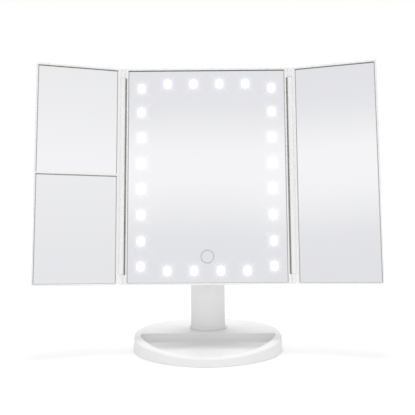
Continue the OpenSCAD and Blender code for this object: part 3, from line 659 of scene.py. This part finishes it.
def painted_glare_group():
    """Node group: a lamp's glare painted on the glass as emission, at (Across, Up) from its middle, in
    millimetres.
    """
    tree = bpy.data.node_groups.new("painted_lamp_glare", "ShaderNodeTree")
    for name, way in (("Across", "INPUT"), ("Up", "INPUT"), ("Glare", "OUTPUT")):
        tree.interface.new_socket(name, in_out=way, socket_type="NodeSocketFloat")
    nodes = Nodes(tree)
    calc = nodes.math
    given = nodes.node("NodeGroupInput").outputs
    # Radii over which the core, the halo and the rays fade, and within which the rays grow
    core_r = 4.1
    halo_r = 4.5
    ray_r = 4.2
    start_r = 4.0
    # The blown-out middle is taller than it is wide
    tall = calc("MULTIPLY", given["Up"], 0.85)
    square = calc("ADD", calc("POWER", given["Across"], 2.0), calc("POWER", tall, 2.0))
    far = calc("SQRT", square)
    core = calc("MULTIPLY", nodes.falling(square, core_r**2), 0.36)
    halo = calc("MULTIPLY", nodes.falling(far, halo_r), 0.03)
    # Rays: four strong diagonal ones, and weaker ones between them
    angle = calc("ARCTAN2", given["Across"], given["Up"])
    diagonal = calc("POWER", calc("ABSOLUTE", calc("SINE", calc("MULTIPLY", angle, 2.0))), 50.0)
    leaning = calc("ADD", calc("MULTIPLY", angle, 6.0), 0.6)
    between = calc("POWER", calc("ABSOLUTE", calc("COSINE", leaning)), 40.0)
    rays = calc("ADD", diagonal, calc("MULTIPLY", between, 0.75))
    near = calc("MINIMUM", calc("DIVIDE", far, start_r), 1.0)
    reach = calc("MULTIPLY", nodes.falling(far, ray_r), near)
    streaks = calc("MULTIPLY", calc("MULTIPLY", rays, reach), 0.26)
    nodes.node("NodeGroupOutput", Glare=calc("ADD", calc("ADD", core, halo), streaks))
    return tree


def add_painted_glare(look, x, z):
    """Painted glare of every lamp: emission on the centre mirror's glass round each window, folded about the
    pattern's middle.
    """
    lamps = lamp_places()
    heights = [place[1] for place in lamps]
    middle = (min(heights) + max(heights)) / 2
    folded = {(round(abs(px) / MM, 1), round(abs(pz - middle) / MM, 1)) for px, pz in lamps}
    side = look.math("MULTIPLY", look.math("ABSOLUTE", x), 1 / MM)
    level = look.math("MULTIPLY", look.math("ABSOLUTE", look.math("SUBTRACT", z, middle)), 1 / MM)
    flare = painted_glare_group()
    total = None
    for lamp_x, lamp_z in sorted(folded):
        made = look.tree.nodes.new("ShaderNodeGroup")
        made.node_tree = flare
        look.feed(made.inputs["Across"], look.math("SUBTRACT", side, lamp_x))
        look.feed(made.inputs["Up"], look.math("SUBTRACT", level, lamp_z))
        glare = made.outputs["Glare"]
        total = glare if total is None else look.math("ADD", total, glare)
    # Painted glare: the mirror glass itself glows round each lamp window
    look.set(Emission_Color=(0.98, 0.98, 1, 1), Emission_Strength=total)


# Painted reflection: brightness painted into each mirror's colour at these heights, as shares of the panel, in
# linear light
PAINTED_REFLECTION_BAND = ((0.0, 0.752), (0.2, 0.762), (0.3, 0.82), (0.42, 0.895), (0.55, 0.915), (0.65, 0.885))
PAINTED_REFLECTION_BAND += ((0.76, 0.81), (0.86, 0.768), (1.0, 0.765))
LOWER_PAINTED_REFLECTION = ((0.0, 0.79), (0.25, 0.805), (0.5, 0.84), (1.0, 0.84))
UPPER_PAINTED_REFLECTION = ((0.0, 0.90), (0.5, 0.905), (0.75, 0.862), (1.0, 0.815))

# Colour of the shade that the rim throws on the top edge of each mirror
WING_TOP = (0.19, 0.185, 0.165, 1)
LOWER_TOP = (0.3, 0.3, 0.28, 1)
CENTRE_TOP = (0.09, 0.11, 0.13, 1)
# Brightness of a mirror's darker band at its sides, partly its ground arris and partly painted shade of the rim's
# recess, and where that band and the top's painted shade fade out
SIDE_ARRIS_AND_SHADE = 0.4
ARRIS_AND_SHADE_EDGE = (0.35 * MM, 0.85 * MM)
SHADE_EDGE = (0.75 * MM, 1.25 * MM)


def mirror(name, place, node, stops, top=WING_TOP, foot=0.62, lamps=False):
    """Front-silvered look of one mirror: a painted reflection gradient by height, painted shade along its top
    edge, faint wipe marks, and darker bands at its sides and foot that are partly its ground arris and partly
    painted shade.
    """
    look = Look(name)
    x, _, z = local_axes(look, place)
    # Painted reflection: a soft studio brightness gradient painted into the colour by height, wandering a little
    share = look.math("DIVIDE", z, PANEL_H)
    wander = look.spread(look.noise(9, 2), -0.02, 0.02, 0.3, 0.7)
    ramp = look.node("ShaderNodeValToRGB", Fac=look.math("ADD", share, wander))
    ramp.color_ramp.interpolation = "B_SPLINE"
    points = ramp.color_ramp.elements
    while len(points) < len(stops):
        points.new(0.5)
    for point, (spot, _) in zip(points, stops):
        point.position = spot
    for point, (_, level) in zip(points, stops):
        # The darker a stretch of the painted reflection, the cooler
        dark = 0.93 - level
        blue = level * (1 + 0.14 * dark) + 0.012
        point.color = (level, level * (1 + 0.02 * dark), min(blue, 1), 1)
    low, high = extent(node, place)
    sides = look.math("MINIMUM", look.math("SUBTRACT", x, low.x), look.math("SUBTRACT", high.x, x))
    # Darker bands at the foot and sides: partly the glass's ground arris, partly painted shade of the rim's recess
    above_foot = look.spread(look.math("SUBTRACT", z, low.z), 0, 1, *ARRIS_AND_SHADE_EDGE)
    inside = look.spread(sides, 0, 1, *ARRIS_AND_SHADE_EDGE)
    # Painted shade that the rim throws along the mirror's top edge
    below_top = look.spread(look.math("SUBTRACT", high.z, z), 0, 1, *SHADE_EDGE)
    shade = look.blend(above_foot, rgb(foot), ramp.outputs["Color"])
    shade = look.blend(inside, rgb(SIDE_ARRIS_AND_SHADE), shade)
    look.set(Base_Color=look.blend(below_top, top, shade), Metallic=1.0)
    marks = look.noise(26, 3, (1, 1, 0.35))
    look.set(Roughness=look.spread(marks, 0.015, 0.035, 0.3, 0.7))
    # The centre mirror gets painted glare round its lamp windows
    if lamps:
        add_painted_glare(look, x, z)
    return look.material


def floor_look():
    """Pale floor that shows white to the camera and in reflections, and keeps the soft shadow."""
    look = Look("studio_floor")
    seen = look.seen_directly()
    tone = look.blend(look.noise(2, 2), rgb(0.985), rgb(1))
    scaled = look.node("ShaderNodeVectorMath")
    scaled.operation = "SCALE"
    look.feed(scaled.inputs["Vector"], tone)
    look.feed(scaled.inputs["Scale"], look.spread(seen, FLOOR_ALBEDO, FLOOR_SHADOW))
    look.set(Base_Color=scaled.outputs["Vector"], Roughness=0.9, Specular_IOR_Level=0.0)
    depth = look.node("ShaderNodeSeparateXYZ", Vector=look.coords).outputs["Y"]
    behind = look.spread(depth, FLOOR_LIFT, FLOOR_LIFT + BEHIND_LIFT, *BEHIND_FADE)
    distance = look.vector_math("LENGTH", look.coords)["Value"]
    lift = look.math("ADD", behind, look.spread(distance, 0.0, FAR_LIFT, *FAR_FADE))
    hidden = look.math("MULTIPLY", look.math("SUBTRACT", 1.0, seen), FLOOR_BOUNCE)
    strength = look.math("ADD", hidden, look.math("MULTIPLY", seen, lift))
    look.set(Emission_Color=(1, 1, 1, 1), Emission_Strength=strength)
    return look.material


# A brighter copy of the white plastic for the centre frame and wing rims: painted light that the rims catch
HEAD_WHITE_LIT = moulded("head_abs_lit", 0.9, roughness=0.36)
# Grey-brown plastic for the hinge guard strips: painted shade for the dark slits beside the centre panel
GUARD_PAINTED_SHADE = moulded("guard_painted_shade", 0.5, (1, 0.965, 0.92))
LOOKS = {
    "white_plastic": moulded("white_abs", 0.84, roughness=0.22),
    "pillar_plastic": moulded("pillar_abs", 0.85, (1, 1, 0.995)),
    "ballast_steel": metal("ballast_steel", 0.33, 0.5),
    "core_steel": metal("core_steel", 0.5, 0.4),
    "pad_rubber": soft_matter("pad_rubber", 0.05, scale=1500),
    "zinc_steel": metal("zinc_steel", 0.72, 0.28, (0.97, 0.99, 1)),
    "spring_steel": metal("spring_steel", 0.62, 0.24),
    "bush_plastic": moulded("bush_acetal", 0.045, roughness=0.35),
    "mirror_glass": mirror("centre_mirror", HEAD, "main_mirror", PAINTED_REFLECTION_BAND, CENTRE_TOP, lamps=True),
    "lamp_diffuser": glow("lamp_window"),
    "touch_grey": moulded("touch_ring_grey", 0.58, (0.97, 1, 1.01), roughness=0.5),
    "foam_tape": soft_matter("foam_tape", 0.7, scale=2500),
    "baffle_plastic": moulded("baffle_plastic", 0.7),
    "circuit_board": circuit("solder_resist"),
    "lamp_chip": soft_matter("lamp_phosphor", 0.7, (1, 0.85, 0.3), scale=3000, roughness=0.4),
    "chip_black": moulded("chip_epoxy", 0.02, roughness=0.55),
    "battery_cell": cell_sleeve("cell_sleeve"),
    "wire_sleeve": moulded("wire_sleeve", 0.3, (1, 0.08, 0.06), roughness=0.35),
}


# ---- Base and pillar ----


def base_body():
    """Oval base with its tray: one closed shell, its rim and foot rounded."""
    edge_r = 1.2 * MM
    lip_r = 0.7 * MM
    foot_r = 0.5 * MM
    fillet = 1 * MM
    under_z = TRAY_FLOOR_Z - TRAY_WALL
    quarter = [math.pi / 2 * i / 5 for i in range(6)]

    def level(height):
        return lambda y: height

    floor_edge = tray_ring(-fillet, level(TRAY_FLOOR_Z))
    rings = [shrunk(floor_edge, i / 5) for i in range(1, 6)]
    for angle in quarter[1:]:
        low = TRAY_FLOOR_Z + fillet * (1 - math.cos(angle))
        rings.append(tray_ring(-fillet * (1 - math.sin(angle)), level(low)))
    for angle in quarter:
        grow = lip_r * (1 - math.cos(angle))
        drop = lip_r * (1 - math.sin(angle))
        rings.append(tray_ring(grow, lambda y, drop=drop: crown(y) - drop))
    inner = rings[-1]
    outer = oval_ring(edge_r, crown)
    spans = 9
    for i in range(1, spans):
        share = i / spans
        mixed = [a.lerp(b, share) for a, b in zip(inner, outer)]
        rings.append([Vector((p.x, p.y, crown(p.y))) for p in mixed])
    for angle in reversed(quarter):
        inset = edge_r * (1 - math.cos(angle))
        drop = edge_r * (1 - math.sin(angle))
        rings.append(oval_ring(inset, lambda y, drop=drop: crown(y) - drop))
    for angle in quarter:
        inset = foot_r * (1 - math.cos(angle))
        rings.append(oval_ring(inset, level(BASE_FOOT_Z + foot_r * (1 - math.sin(angle)))))
    rings.append(oval_ring(BASE_WALL, level(BASE_FOOT_Z)))
    rings.append(oval_ring(BASE_WALL, lambda y: crown(y) - BASE_WALL))
    rings.append(tray_ring(TRAY_WALL, lambda y: crown(y) - BASE_WALL))
    under = tray_ring(TRAY_WALL, level(under_z))
    rings += [shrunk(under, 1 - i / 5) for i in range(5)]
    bm = bmesh.new()
    loft(bm, rings)
    piece("base_body", bm, WORLD, "base", "white_plastic", ["base_shell"])


def column_ring(grow, z):
    """Section of the pillar at height z, narrowed by its round head above the pivot."""
    reach = COLUMN_HALF_D + grow
    rise = min(max(z - PIVOT.z, 0) / reach, 1)
    limit = reach * math.sqrt(max(1 - rise**2, 0))
    points = column_outline(grow)
    return [Vector((p.x, PIVOT.y + min(max(p.y, -limit), limit), z)) for p in points]


def column_rings(grow):
    """Rings of the pillar from its foot to its round head."""
    heights = [COLUMN_FOOT_Z + (PIVOT.z - COLUMN_FOOT_Z) * i / 6 for i in range(7)]
    reach = COLUMN_HALF_D + grow
    heights += [PIVOT.z + reach * math.sin(math.radians(6 * i)) for i in range(1, 15)]
    return [column_ring(grow, z) for z in heights]


def column_shell(name, node, side):
    """Front or rear half of the hollow pillar, a hair's breadth from the other. The rear half, on
    side 1, has the recesses of the screws that close it."""
    seam = 0.06 * MM
    bm = bmesh.new()
    loft(bm, column_rings(-COLUMN_WALL)[::-1] + column_rings(0))
    geometry = bm.verts[:] + bm.edges[:] + bm.faces[:]
    bmesh.ops.bisect_plane(
        bm,
        geom=geometry,
        plane_co=(0, PIVOT.y + side * seam, 0),
        plane_no=(0, -side, 0),
        clear_outer=True,
    )
    open_edges = [edge for edge in bm.edges if edge.is_boundary]
    bmesh.ops.triangle_fill(bm, edges=open_edges, use_beauty=True)
    shell = piece(name, bm, WORLD, "base", "pillar_plastic", [node])
    cutter = bmesh.new()
    across = Matrix.Translation(PIVOT) @ Matrix.Rotation(math.pi / 2, 4, "Y")
    reach = 2 * COLUMN_HALF_W
    turned(cutter, across, [(SHAFT_BORE_R, -reach), (SHAFT_BORE_R, reach)])
    if side > 0:
        depth = 2.6 * MM
        recess_r = 3 * MM
        mouth = [(recess_r + 0.3 * MM, depth), (recess_r + 0.6 * MM, depth + 1.4 * MM)]
        for low, high in islands("column_shell_screws", WORLD):
            z = (low.z + high.z) / 2
            inward = Matrix.Translation((0, PIVOT.y + COLUMN_HALF_D - depth, z))
            inward = inward @ Matrix.Rotation(-math.pi / 2, 4, "X")
            turned(cutter, inward, [(recess_r, 0), (recess_r, depth - 0.3 * MM)] + mouth)
    cut(shell, cutter)


def column_collar():
    """Flared collar round the pillar's foot, which follows the base's arched top."""
    profile = [(0.03, 0.14), (1.05, 0.14), (1.22, 0.2), (1.3, 0.4), (1.25, 0.7)]
    profile += [(1.0, 1.1), (0.62, 1.42), (0.3, 1.65), (0.12, 1.78), (0.03, 1.8)]
    rings = []
    for grow, rise in profile:
        ring = []
        for point in column_outline(grow * MM):
            y = PIVOT.y + point.y
            ring.append(Vector((point.x, y, crown(y) + rise * MM)))
        rings.append(ring)
    bm = bmesh.new()
    loft(bm, rings, loop=True)
    piece("column_collar_ring", bm, WORLD, "base", "pillar_plastic", ["column_collar"])


# ---- Centre panel ----


def rim_loop(bm, outer, inner, profile, outer_r, inner_r):
    """Ring of a rectangular frame. Each profile point is (share from outer to inner, inset, depth)."""
    rings = []
    for share, inset, depth in profile:
        low = [outer[0][i] * (1 - share) + inner[0][i] * share + inset for i in range(2)]
        high = [outer[1][i] * (1 - share) + inner[1][i] * share - inset for i in range(2)]
        radius = outer_r * (1 - share) + inner_r * share - inset
        rings.append(rounded_rect(low, high, radius, depth))
    loft(bm, rings, loop=True)


def rim_front():
    """Section of a rim's front: rounded outside, a small radius inside, and down to the seat."""
    return [
        (0, 0.0, 0.5 * MM),
        (0, 0.15 * MM, 0.15 * MM),
        (0, 0.5 * MM, 0.0),
        (1, -0.35 * MM, 0.0),
        (1, -0.1 * MM, 0.1 * MM),
        (1, 0.0, 0.35 * MM),
        (1, 0.0, SEAT_DEPTH),
    ]


def main_profile():
    """Section of the main frame: its rim, the edge of its inner plate, and its outer wall."""
    step = FRAME_WALL + 1 * MM
    back = [(0, step, SEAT_DEPTH), (0, step, WEB_BACK), (0, FRAME_WALL, WEB_BACK)]
    back += [(0, FRAME_WALL, FRAME_DEPTH), (0, 0.3 * MM, FRAME_DEPTH), (0, 0.0, FRAME_DEPTH - 0.3 * MM)]
    return rim_front() + back


def ear_profile():
    """Half section of a hinge ear: domed outer end, small chamfer at the joint line."""
    dome = [
        (BARREL_R * math.sin(angle), 0.7 * BARREL_R * (1 - math.cos(angle)))
        for angle in [math.radians(5 + 8.5 * i) for i in range(11)]
    ]
    return dome + [(BARREL_R, EAR_H - 0.25 * MM), (BARREL_R - 0.25 * MM, EAR_H)]


def hinge_ears(bm):
    """The four ears that hold the hinge rods, with the webs that join them to the frame."""
    for side in (-1, 1):
        for top in (0, 1):
            flip = Matrix.Diagonal((side, 1, 1 - 2 * top, 1))
            spot = Matrix.Translation((side * (PANEL_HALF_W + HINGE_OUT), 0, top * PANEL_H)) @ flip
            turned(bm, spot @ Matrix.Translation((0, AXIS_Y, 0)), ear_profile())
            corner = rounded_corner(-HINGE_OUT - 1 * MM, 0.6 * MM, 0, EAR_H - 0.1 * MM, 3.2 * MM)
            rings = []
            for inset, depth in ((0.3, 0.05), (0, 0.35), (0, HINGE_WEB / MM - 0.3), (0.3, HINGE_WEB / MM)):
                middle = Vector((-HINGE_OUT / 2, EAR_H / 2))
                ring = [p + (middle - p).normalized() * inset * MM for p in corner]
                rings.append([spot @ Vector((p.x, depth * MM, p.y)) for p in ring])
            loft(bm, rings)


def front_frame():
    """Centre panel's front frame: rim, seat, inner plate, and the hinge ears."""
    outer = ((-PANEL_HALF_W, 0), (PANEL_HALF_W, PANEL_H))
    inner = ((RIM_SIDE - PANEL_HALF_W, RIM_END), (PANEL_HALF_W - RIM_SIDE, PANEL_H - RIM_END))
    bm = bmesh.new()
    rim_loop(bm, outer, inner, main_profile(), 1.2 * MM, 0.8 * MM)
    hinge_ears(bm)
    # The frame wears the brighter, lit copy of the white plastic: painted light
    piece("front_frame", bm, HEAD, "head", "white_plastic", ["main_frame"], look=HEAD_WHITE_LIT)
    plate = bmesh.new()
    edge = FRAME_WALL + 0.9 * MM
    low = (edge - PANEL_HALF_W, SEAT_DEPTH + 0.05 * MM, edge)
    slab(plate, low, (PANEL_HALF_W - edge, WEB_BACK - 0.05 * MM, PANEL_H - edge), 0.1 * MM, 1)
    inner_plate = piece("front_frame_plate", plate, HEAD, "head", "white_plastic")
    cut(inner_plate, welded("light_windows"))


def guard_strips():
    """Strips behind the barrels, between the ears, which close the slits beside them; their grey-brown colour is
    painted shade for the slits.
    """
    front = AXIS_Y + BARREL_R + GUARD_GAP
    # Each strip runs this far into the panel's side and behind the ears
    into_side = 0.5 * MM
    into_ear = 1 * MM
    for name, side in (("left", -1), ("right", 1)):
        bm = bmesh.new()
        axis = side * (PANEL_HALF_W + HINGE_OUT)
        ends = sorted((axis - side * (HINGE_OUT + into_side), axis + side * BARREL_R))
        low = (ends[0], front, EAR_H - into_ear)
        slab(bm, low, (ends[1], front + GUARD_T, PANEL_H - EAR_H + into_ear), 0.2 * MM)
        piece(name + "_hinge_guard", bm, HEAD, "head", "white_plastic", look=GUARD_PAINTED_SHADE)


# ---- Wings ----


def wing_frame(name, node, place, body):
    """A wing's frame: rim, hinge web and barrel, and on the left the bar between its mirrors."""
    high = extent(node, place)[1]
    back_fit = 0.05 * MM
    side_in = extent(node.replace("frame", "back"), place)[0].x - WING_BACK_RIM - back_fit
    outer = ((side_in, 0), (high.x, PANEL_H))
    inner = ((side_in + WING_RIM_IN, RIM_END), (high.x - WING_RIM_OUT, PANEL_H - RIM_END))
    bm = bmesh.new()
    rim_loop(bm, outer, inner, wing_profile(), 1.3 * MM, 0.8 * MM)
    barrel_low = EAR_H + BARREL_GAP
    barrel_high = PANEL_H - barrel_low
    turned(bm, Matrix.Translation((0, AXIS_Y, 0)), barrel_profile(barrel_low, barrel_high))
    slab(bm, (0, 0.05 * MM, barrel_low), (side_in + 0.6 * MM, HINGE_WEB, barrel_high), 0.2 * MM)
    if node == "left_wing_frame":
        half = DIVIDER_W / 2
        middle = PANEL_H / 2
        ends = (inner[0][0] - 0.3 * MM, inner[1][0] + 0.3 * MM)
        slab(bm, (ends[0], 0.02 * MM, middle - half), (ends[1], SEAT_DEPTH, middle + half), 0.3 * MM)
    # The inner plate runs a little into the rim
    edge = WING_BACK_RIM - 0.3 * MM
    plate_low = (side_in + edge, SEAT_DEPTH + 0.02 * MM, edge)
    slab(bm, plate_low, (high.x - edge, WING_BACK_Y - 0.02 * MM, PANEL_H - edge), 0.05 * MM, 1)
    # The rim wears the brighter, lit copy of the white plastic: painted light
    piece(name, bm, place, body, "white_plastic", [node], look=HEAD_WHITE_LIT)


def wing_profile():
    """Section of a wing's rim, with a seat in front for the mirror and one behind for the back."""
    return rim_front() + [
        (0, WING_BACK_RIM + 0.5 * MM, SEAT_DEPTH),
        (0, WING_BACK_RIM + 0.5 * MM, WING_BACK_Y),
        (0, WING_BACK_RIM, WING_BACK_Y),
        (0, WING_BACK_RIM, WING_DEPTH - 0.15 * MM),
        (0, WING_BACK_RIM - 0.15 * MM, WING_DEPTH),
        (0, 0.35 * MM, WING_DEPTH),
        (0, 0.1 * MM, WING_DEPTH - 0.1 * MM),
        (0, 0.0, WING_DEPTH - 0.35 * MM),
    ]


def barrel_profile(low, high):
    """Half section of a hinge barrel with chamfered ends."""
    chamfer = 0.25 * MM
    return [
        (BARREL_R - chamfer, low),
        (BARREL_R, low + chamfer),
        (BARREL_R, high - chamfer),
        (BARREL_R - chamfer, high),
    ]


# ---- Springs and screws ----


def coil(start, end, start_r, end_r, turns, steps=26):
    """Points of a helix about local Z between two heights, with a flat turn at each end."""
    path = []
    count = int((turns + 2) * steps)
    for i in range(count + 1):
        turn = i / steps
        rise = min(max((turn - 1) / turns, 0), 1)
        radius = start_r + (end_r - start_r) * rise
        angle = math.tau * turn
        height = start + (end - start) * rise
        path.append(Vector((radius * math.cos(angle), radius * math.sin(angle), height)))
    return path


def battery_coils():
    """A conical spring of round wire at one end of each cell."""
    wire = 0.3 * MM
    wide_r = 4.9 * MM
    narrow_r = 3.3 * MM
    height = 6.9 * MM
    count = 4
    low, high = extent("battery_springs", HEAD)
    pitch = (high.x - low.x - 2 * (wide_r + wire)) / (count - 1)
    middle = (low.y + high.y) / 2
    path = coil(wire, height - wire, wide_r, narrow_r, 4)
    bm = bmesh.new()
    for i in range(count):
        x = (i - (count - 1) / 2) * pitch
        # Every second cell stands the other way up
        up = i % 2
        spot = Matrix.Translation((x, middle, low.z if up else high.z))
        spot = spot @ Matrix.Diagonal((1, 1, 1 if up else -1, 1))
        tube(bm, [spot @ p for p in path], wire)
    piece("battery_coil_springs", bm, HEAD, "head", "spring_steel", ["battery_springs"])


def touch_coil():
    """Sensing spring behind the touch ring."""
    wire = 0.3 * MM
    low, high = extent("touch_spring", HEAD)
    middle = (low + high) / 2
    radius = (high.x - low.x) / 2 - wire
    spot = Matrix.Translation((middle.x, low.y, middle.z)) @ Matrix.Rotation(-math.pi / 2, 4, "X")
    bm = bmesh.new()
    path = coil(wire, high.y - low.y - wire, radius, radius, 5)
    tube(bm, [spot @ p for p in path], wire)
    piece("touch_coil_spring", bm, HEAD, "head", "spring_steel", ["touch_spring"])


def screw(bm, recesses, spot, shank_r, head_r, head_h, length):
    """Pan-headed screw along local Z with its head's top at 0, and its cross recess."""
    profile = [(shank_r * 0.35, -length), (shank_r, -length + 1 * MM), (shank_r, -head_h)]
    profile += [(head_r, -head_h), (head_r, -head_h * 0.55), (head_r * 0.9, -head_h * 0.2)]
    profile += [(head_r * 0.7, 0)]
    turned(bm, spot, profile, 32)
    arm = head_r * 0.52
    half = head_r * 0.13
    quarter = [(arm, -half), (arm, half), (half, half)]
    rings = []
    for height in (-head_h * 0.62, 1 * MM):
        ring = []
        for turn in range(4):
            place = spot @ Matrix.Rotation(turn * math.pi / 2, 4, "Z")
            ring += [place @ Vector((x, y, height)) for x, y in quarter]
        rings.append(ring)
    loft(recesses, rings)


def rear_screws(name, node, place, body, shank_r, head_h):
    """Screws driven from behind, each with a cross recess, where the CAD node has them."""
    bm = bmesh.new()
    recesses = bmesh.new()
    for low, high in islands(node, place):
        middle = (low + high) / 2
        spot = Matrix.Translation((middle.x, high.y, middle.z)) @ Matrix.Rotation(-math.pi / 2, 4, "X")
        screw(bm, recesses, place @ spot, shank_r, (high.x - low.x) / 2, head_h, high.y - low.y)
    made = piece(name, bm, WORLD, body, "zinc_steel", [node], soften=40)
    cut(made, recesses)


# ---- Back ----


def door_body():
    """Battery door with the grooves of its finger grip."""
    door = copied("battery_door", "white_plastic", "battery_door")
    high = extent("battery_door", HEAD)[1]
    half_w = 9 * MM
    half_h = 0.5 * MM
    depth = 0.45 * MM
    pitch = 2 * MM
    from_top = 6 * MM
    cutter = bmesh.new()
    for i in range(6):
        z = high.z - from_top - i * pitch
        low = (-half_w, high.y - depth, z - half_h)
        slab(cutter, low, (half_w, high.y + 1 * MM, z + half_h), 0.3 * MM)
    cutter.transform(HEAD)
    cut(door, cutter)
    round_arrises(door, 0.4 * MM, angle=50)


# ---- Build ----


def build_base():
    """Base and pillar."""
    base_body()
    column_shell("column_front", "column_front_shell", -1)
    column_shell("column_rear", "column_rear_shell", 1)
    column_collar()
    refined("anti_slip_pad", "pad_rubber", 0.25 * MM, "base")
    rear_screws("column_screws", "column_shell_screws", WORLD, "base", 1.5 * MM, 1.6 * MM)


def build_head():
    """Centre panel, back and tilt joint."""
    front_frame()
    guard_strips()
    refined("back_cover", "white_plastic", 0.4 * MM, "head")
    refined("hinge_yoke", "white_plastic", 0.6 * MM, "head", 3)
    refined("tilt_caps", "white_plastic", 0.8 * MM, "head", 4)
    refined("usb_socket", "zinc_steel", 0.15 * MM, "head")
    refined("power_switch_body", "chip_black", 0.15 * MM, "head")
    refined("power_switch_slider", "chip_black", 0.3 * MM, "switch_slider")
    refined("touch_ring", "touch_grey", 0.08 * MM, "head")
    door_body()
    battery_coils()
    touch_coil()
    rear_screws("cover_screws", "back_cover_screws", HEAD, "head", 1.25 * MM, 1.5 * MM)
    rear_screws("yoke_screw_set", "yoke_screws", HEAD, "head", 1.25 * MM, 1.5 * MM)


def build_wings():
    """Frames and backs of both wings."""
    wing_frame("left_wing_rim", "left_wing_frame", LEFT_WING, "left_wing")
    wing_frame("right_wing_rim", "right_wing_frame", RIGHT_WING, "right_wing")
    refined("left_wing_back", "white_plastic", 0.3 * MM, "left_wing")
    refined("right_wing_back", "white_plastic", 0.3 * MM, "right_wing")


def finish_node(node, material):
    """Gives a CAD node its only material."""
    NODES[node].data.materials.clear()
    NODES[node].data.materials.append(material)


def finish_cad_nodes():
    """Gives each CAD node its slot's material, and each wing mirror its own."""
    for row in frame["record"]["subparts"]:
        finish_node(row["node"], LOOKS[row["material_slot"]])
    upper = mirror("left_upper_glass", LEFT_WING, "left_upper_mirror", UPPER_PAINTED_REFLECTION, foot=0.85)
    finish_node("left_upper_mirror", upper)
    lower = mirror("left_lower_glass", LEFT_WING, "left_lower_mirror", LOWER_PAINTED_REFLECTION, LOWER_TOP)
    finish_node("left_lower_mirror", lower)
    right = mirror("right_glass", RIGHT_WING, "right_mirror", PAINTED_REFLECTION_BAND)
    finish_node("right_mirror", right)


# ---- Studio ----


def studio_floor():
    """Wide pale floor under the object."""
    bm = bmesh.new()
    bmesh.ops.create_grid(bm, x_segments=1, y_segments=1, size=FLOOR_HALF)
    mesh = bpy.data.meshes.new("studio_floor")
    bm.to_mesh(mesh)
    bm.free()
    mesh.materials.append(floor_look())
    floor = bpy.data.objects.new("studio_floor", mesh)
    bpy.context.scene.collection.objects.link(floor)


def studio_world():
    """World seen as white by the camera and in reflections, and dimmer to the left and right."""
    world = bpy.data.worlds.new("studio")
    bpy.context.scene.world = world
    world.use_nodes = True
    nodes = Nodes(world.node_tree)
    way = nodes.node("ShaderNodeTexCoord").outputs["Generated"]
    across = nodes.node("ShaderNodeSeparateXYZ", Vector=way).outputs["X"]
    sides = nodes.math("POWER", across, 2.0)
    light = nodes.spread(sides, WORLD_LIGHT, WORLD_LIGHT * (1 - WORLD_SIDES))
    sky = world.node_tree.nodes["Background"]
    nodes.feed(sky.inputs["Color"], (1, 1, 1, 1))
    nodes.feed(sky.inputs["Strength"], nodes.spread(nodes.seen_directly(), light, 1.0))


def studio_lamp():
    """One soft lamp above the object."""
    lamp = bpy.data.lights.new("soft_top", "AREA")
    lamp.shape = "DISK"
    lamp.size = LAMP_SIZE
    lamp.energy = LAMP_POWER
    holder = bpy.data.objects.new("soft_top", lamp)
    bpy.context.scene.collection.objects.link(holder)
    holder.visible_glossy = False
    holder.location = LAMP_SPOT
    holder.rotation_euler = (LAMP_AIM - LAMP_SPOT).to_track_quat("-Z", "Y").to_euler()


def camera():
    """Camera in front of the mirror, at its middle height and almost level."""
    data = bpy.data.cameras.new("camera")
    data.sensor_width = CAMERA_SENSOR
    data.lens = CAMERA_LENS
    data.clip_start = CAMERA_NEAR
    data.clip_end = CAMERA_FAR
    holder = bpy.data.objects.new("camera", data)
    bpy.context.scene.collection.objects.link(holder)
    holder.location = CAMERA_SPOT
    turn = Matrix.Rotation(math.radians(CAMERA_TURN), 4, "Z")
    level = Matrix.Rotation(math.radians(90 - CAMERA_PITCH), 4, "X")
    roll = Matrix.Rotation(math.radians(CAMERA_ROLL), 4, "Z")
    holder.rotation_euler = (turn @ level @ roll).to_euler()
    bpy.context.scene.camera = holder


build_base()
build_head()
build_wings()
finish_cad_nodes()
studio_floor()
studio_world()
studio_lamp()
camera()
bpy.context.scene.view_settings.view_transform = "Standard"
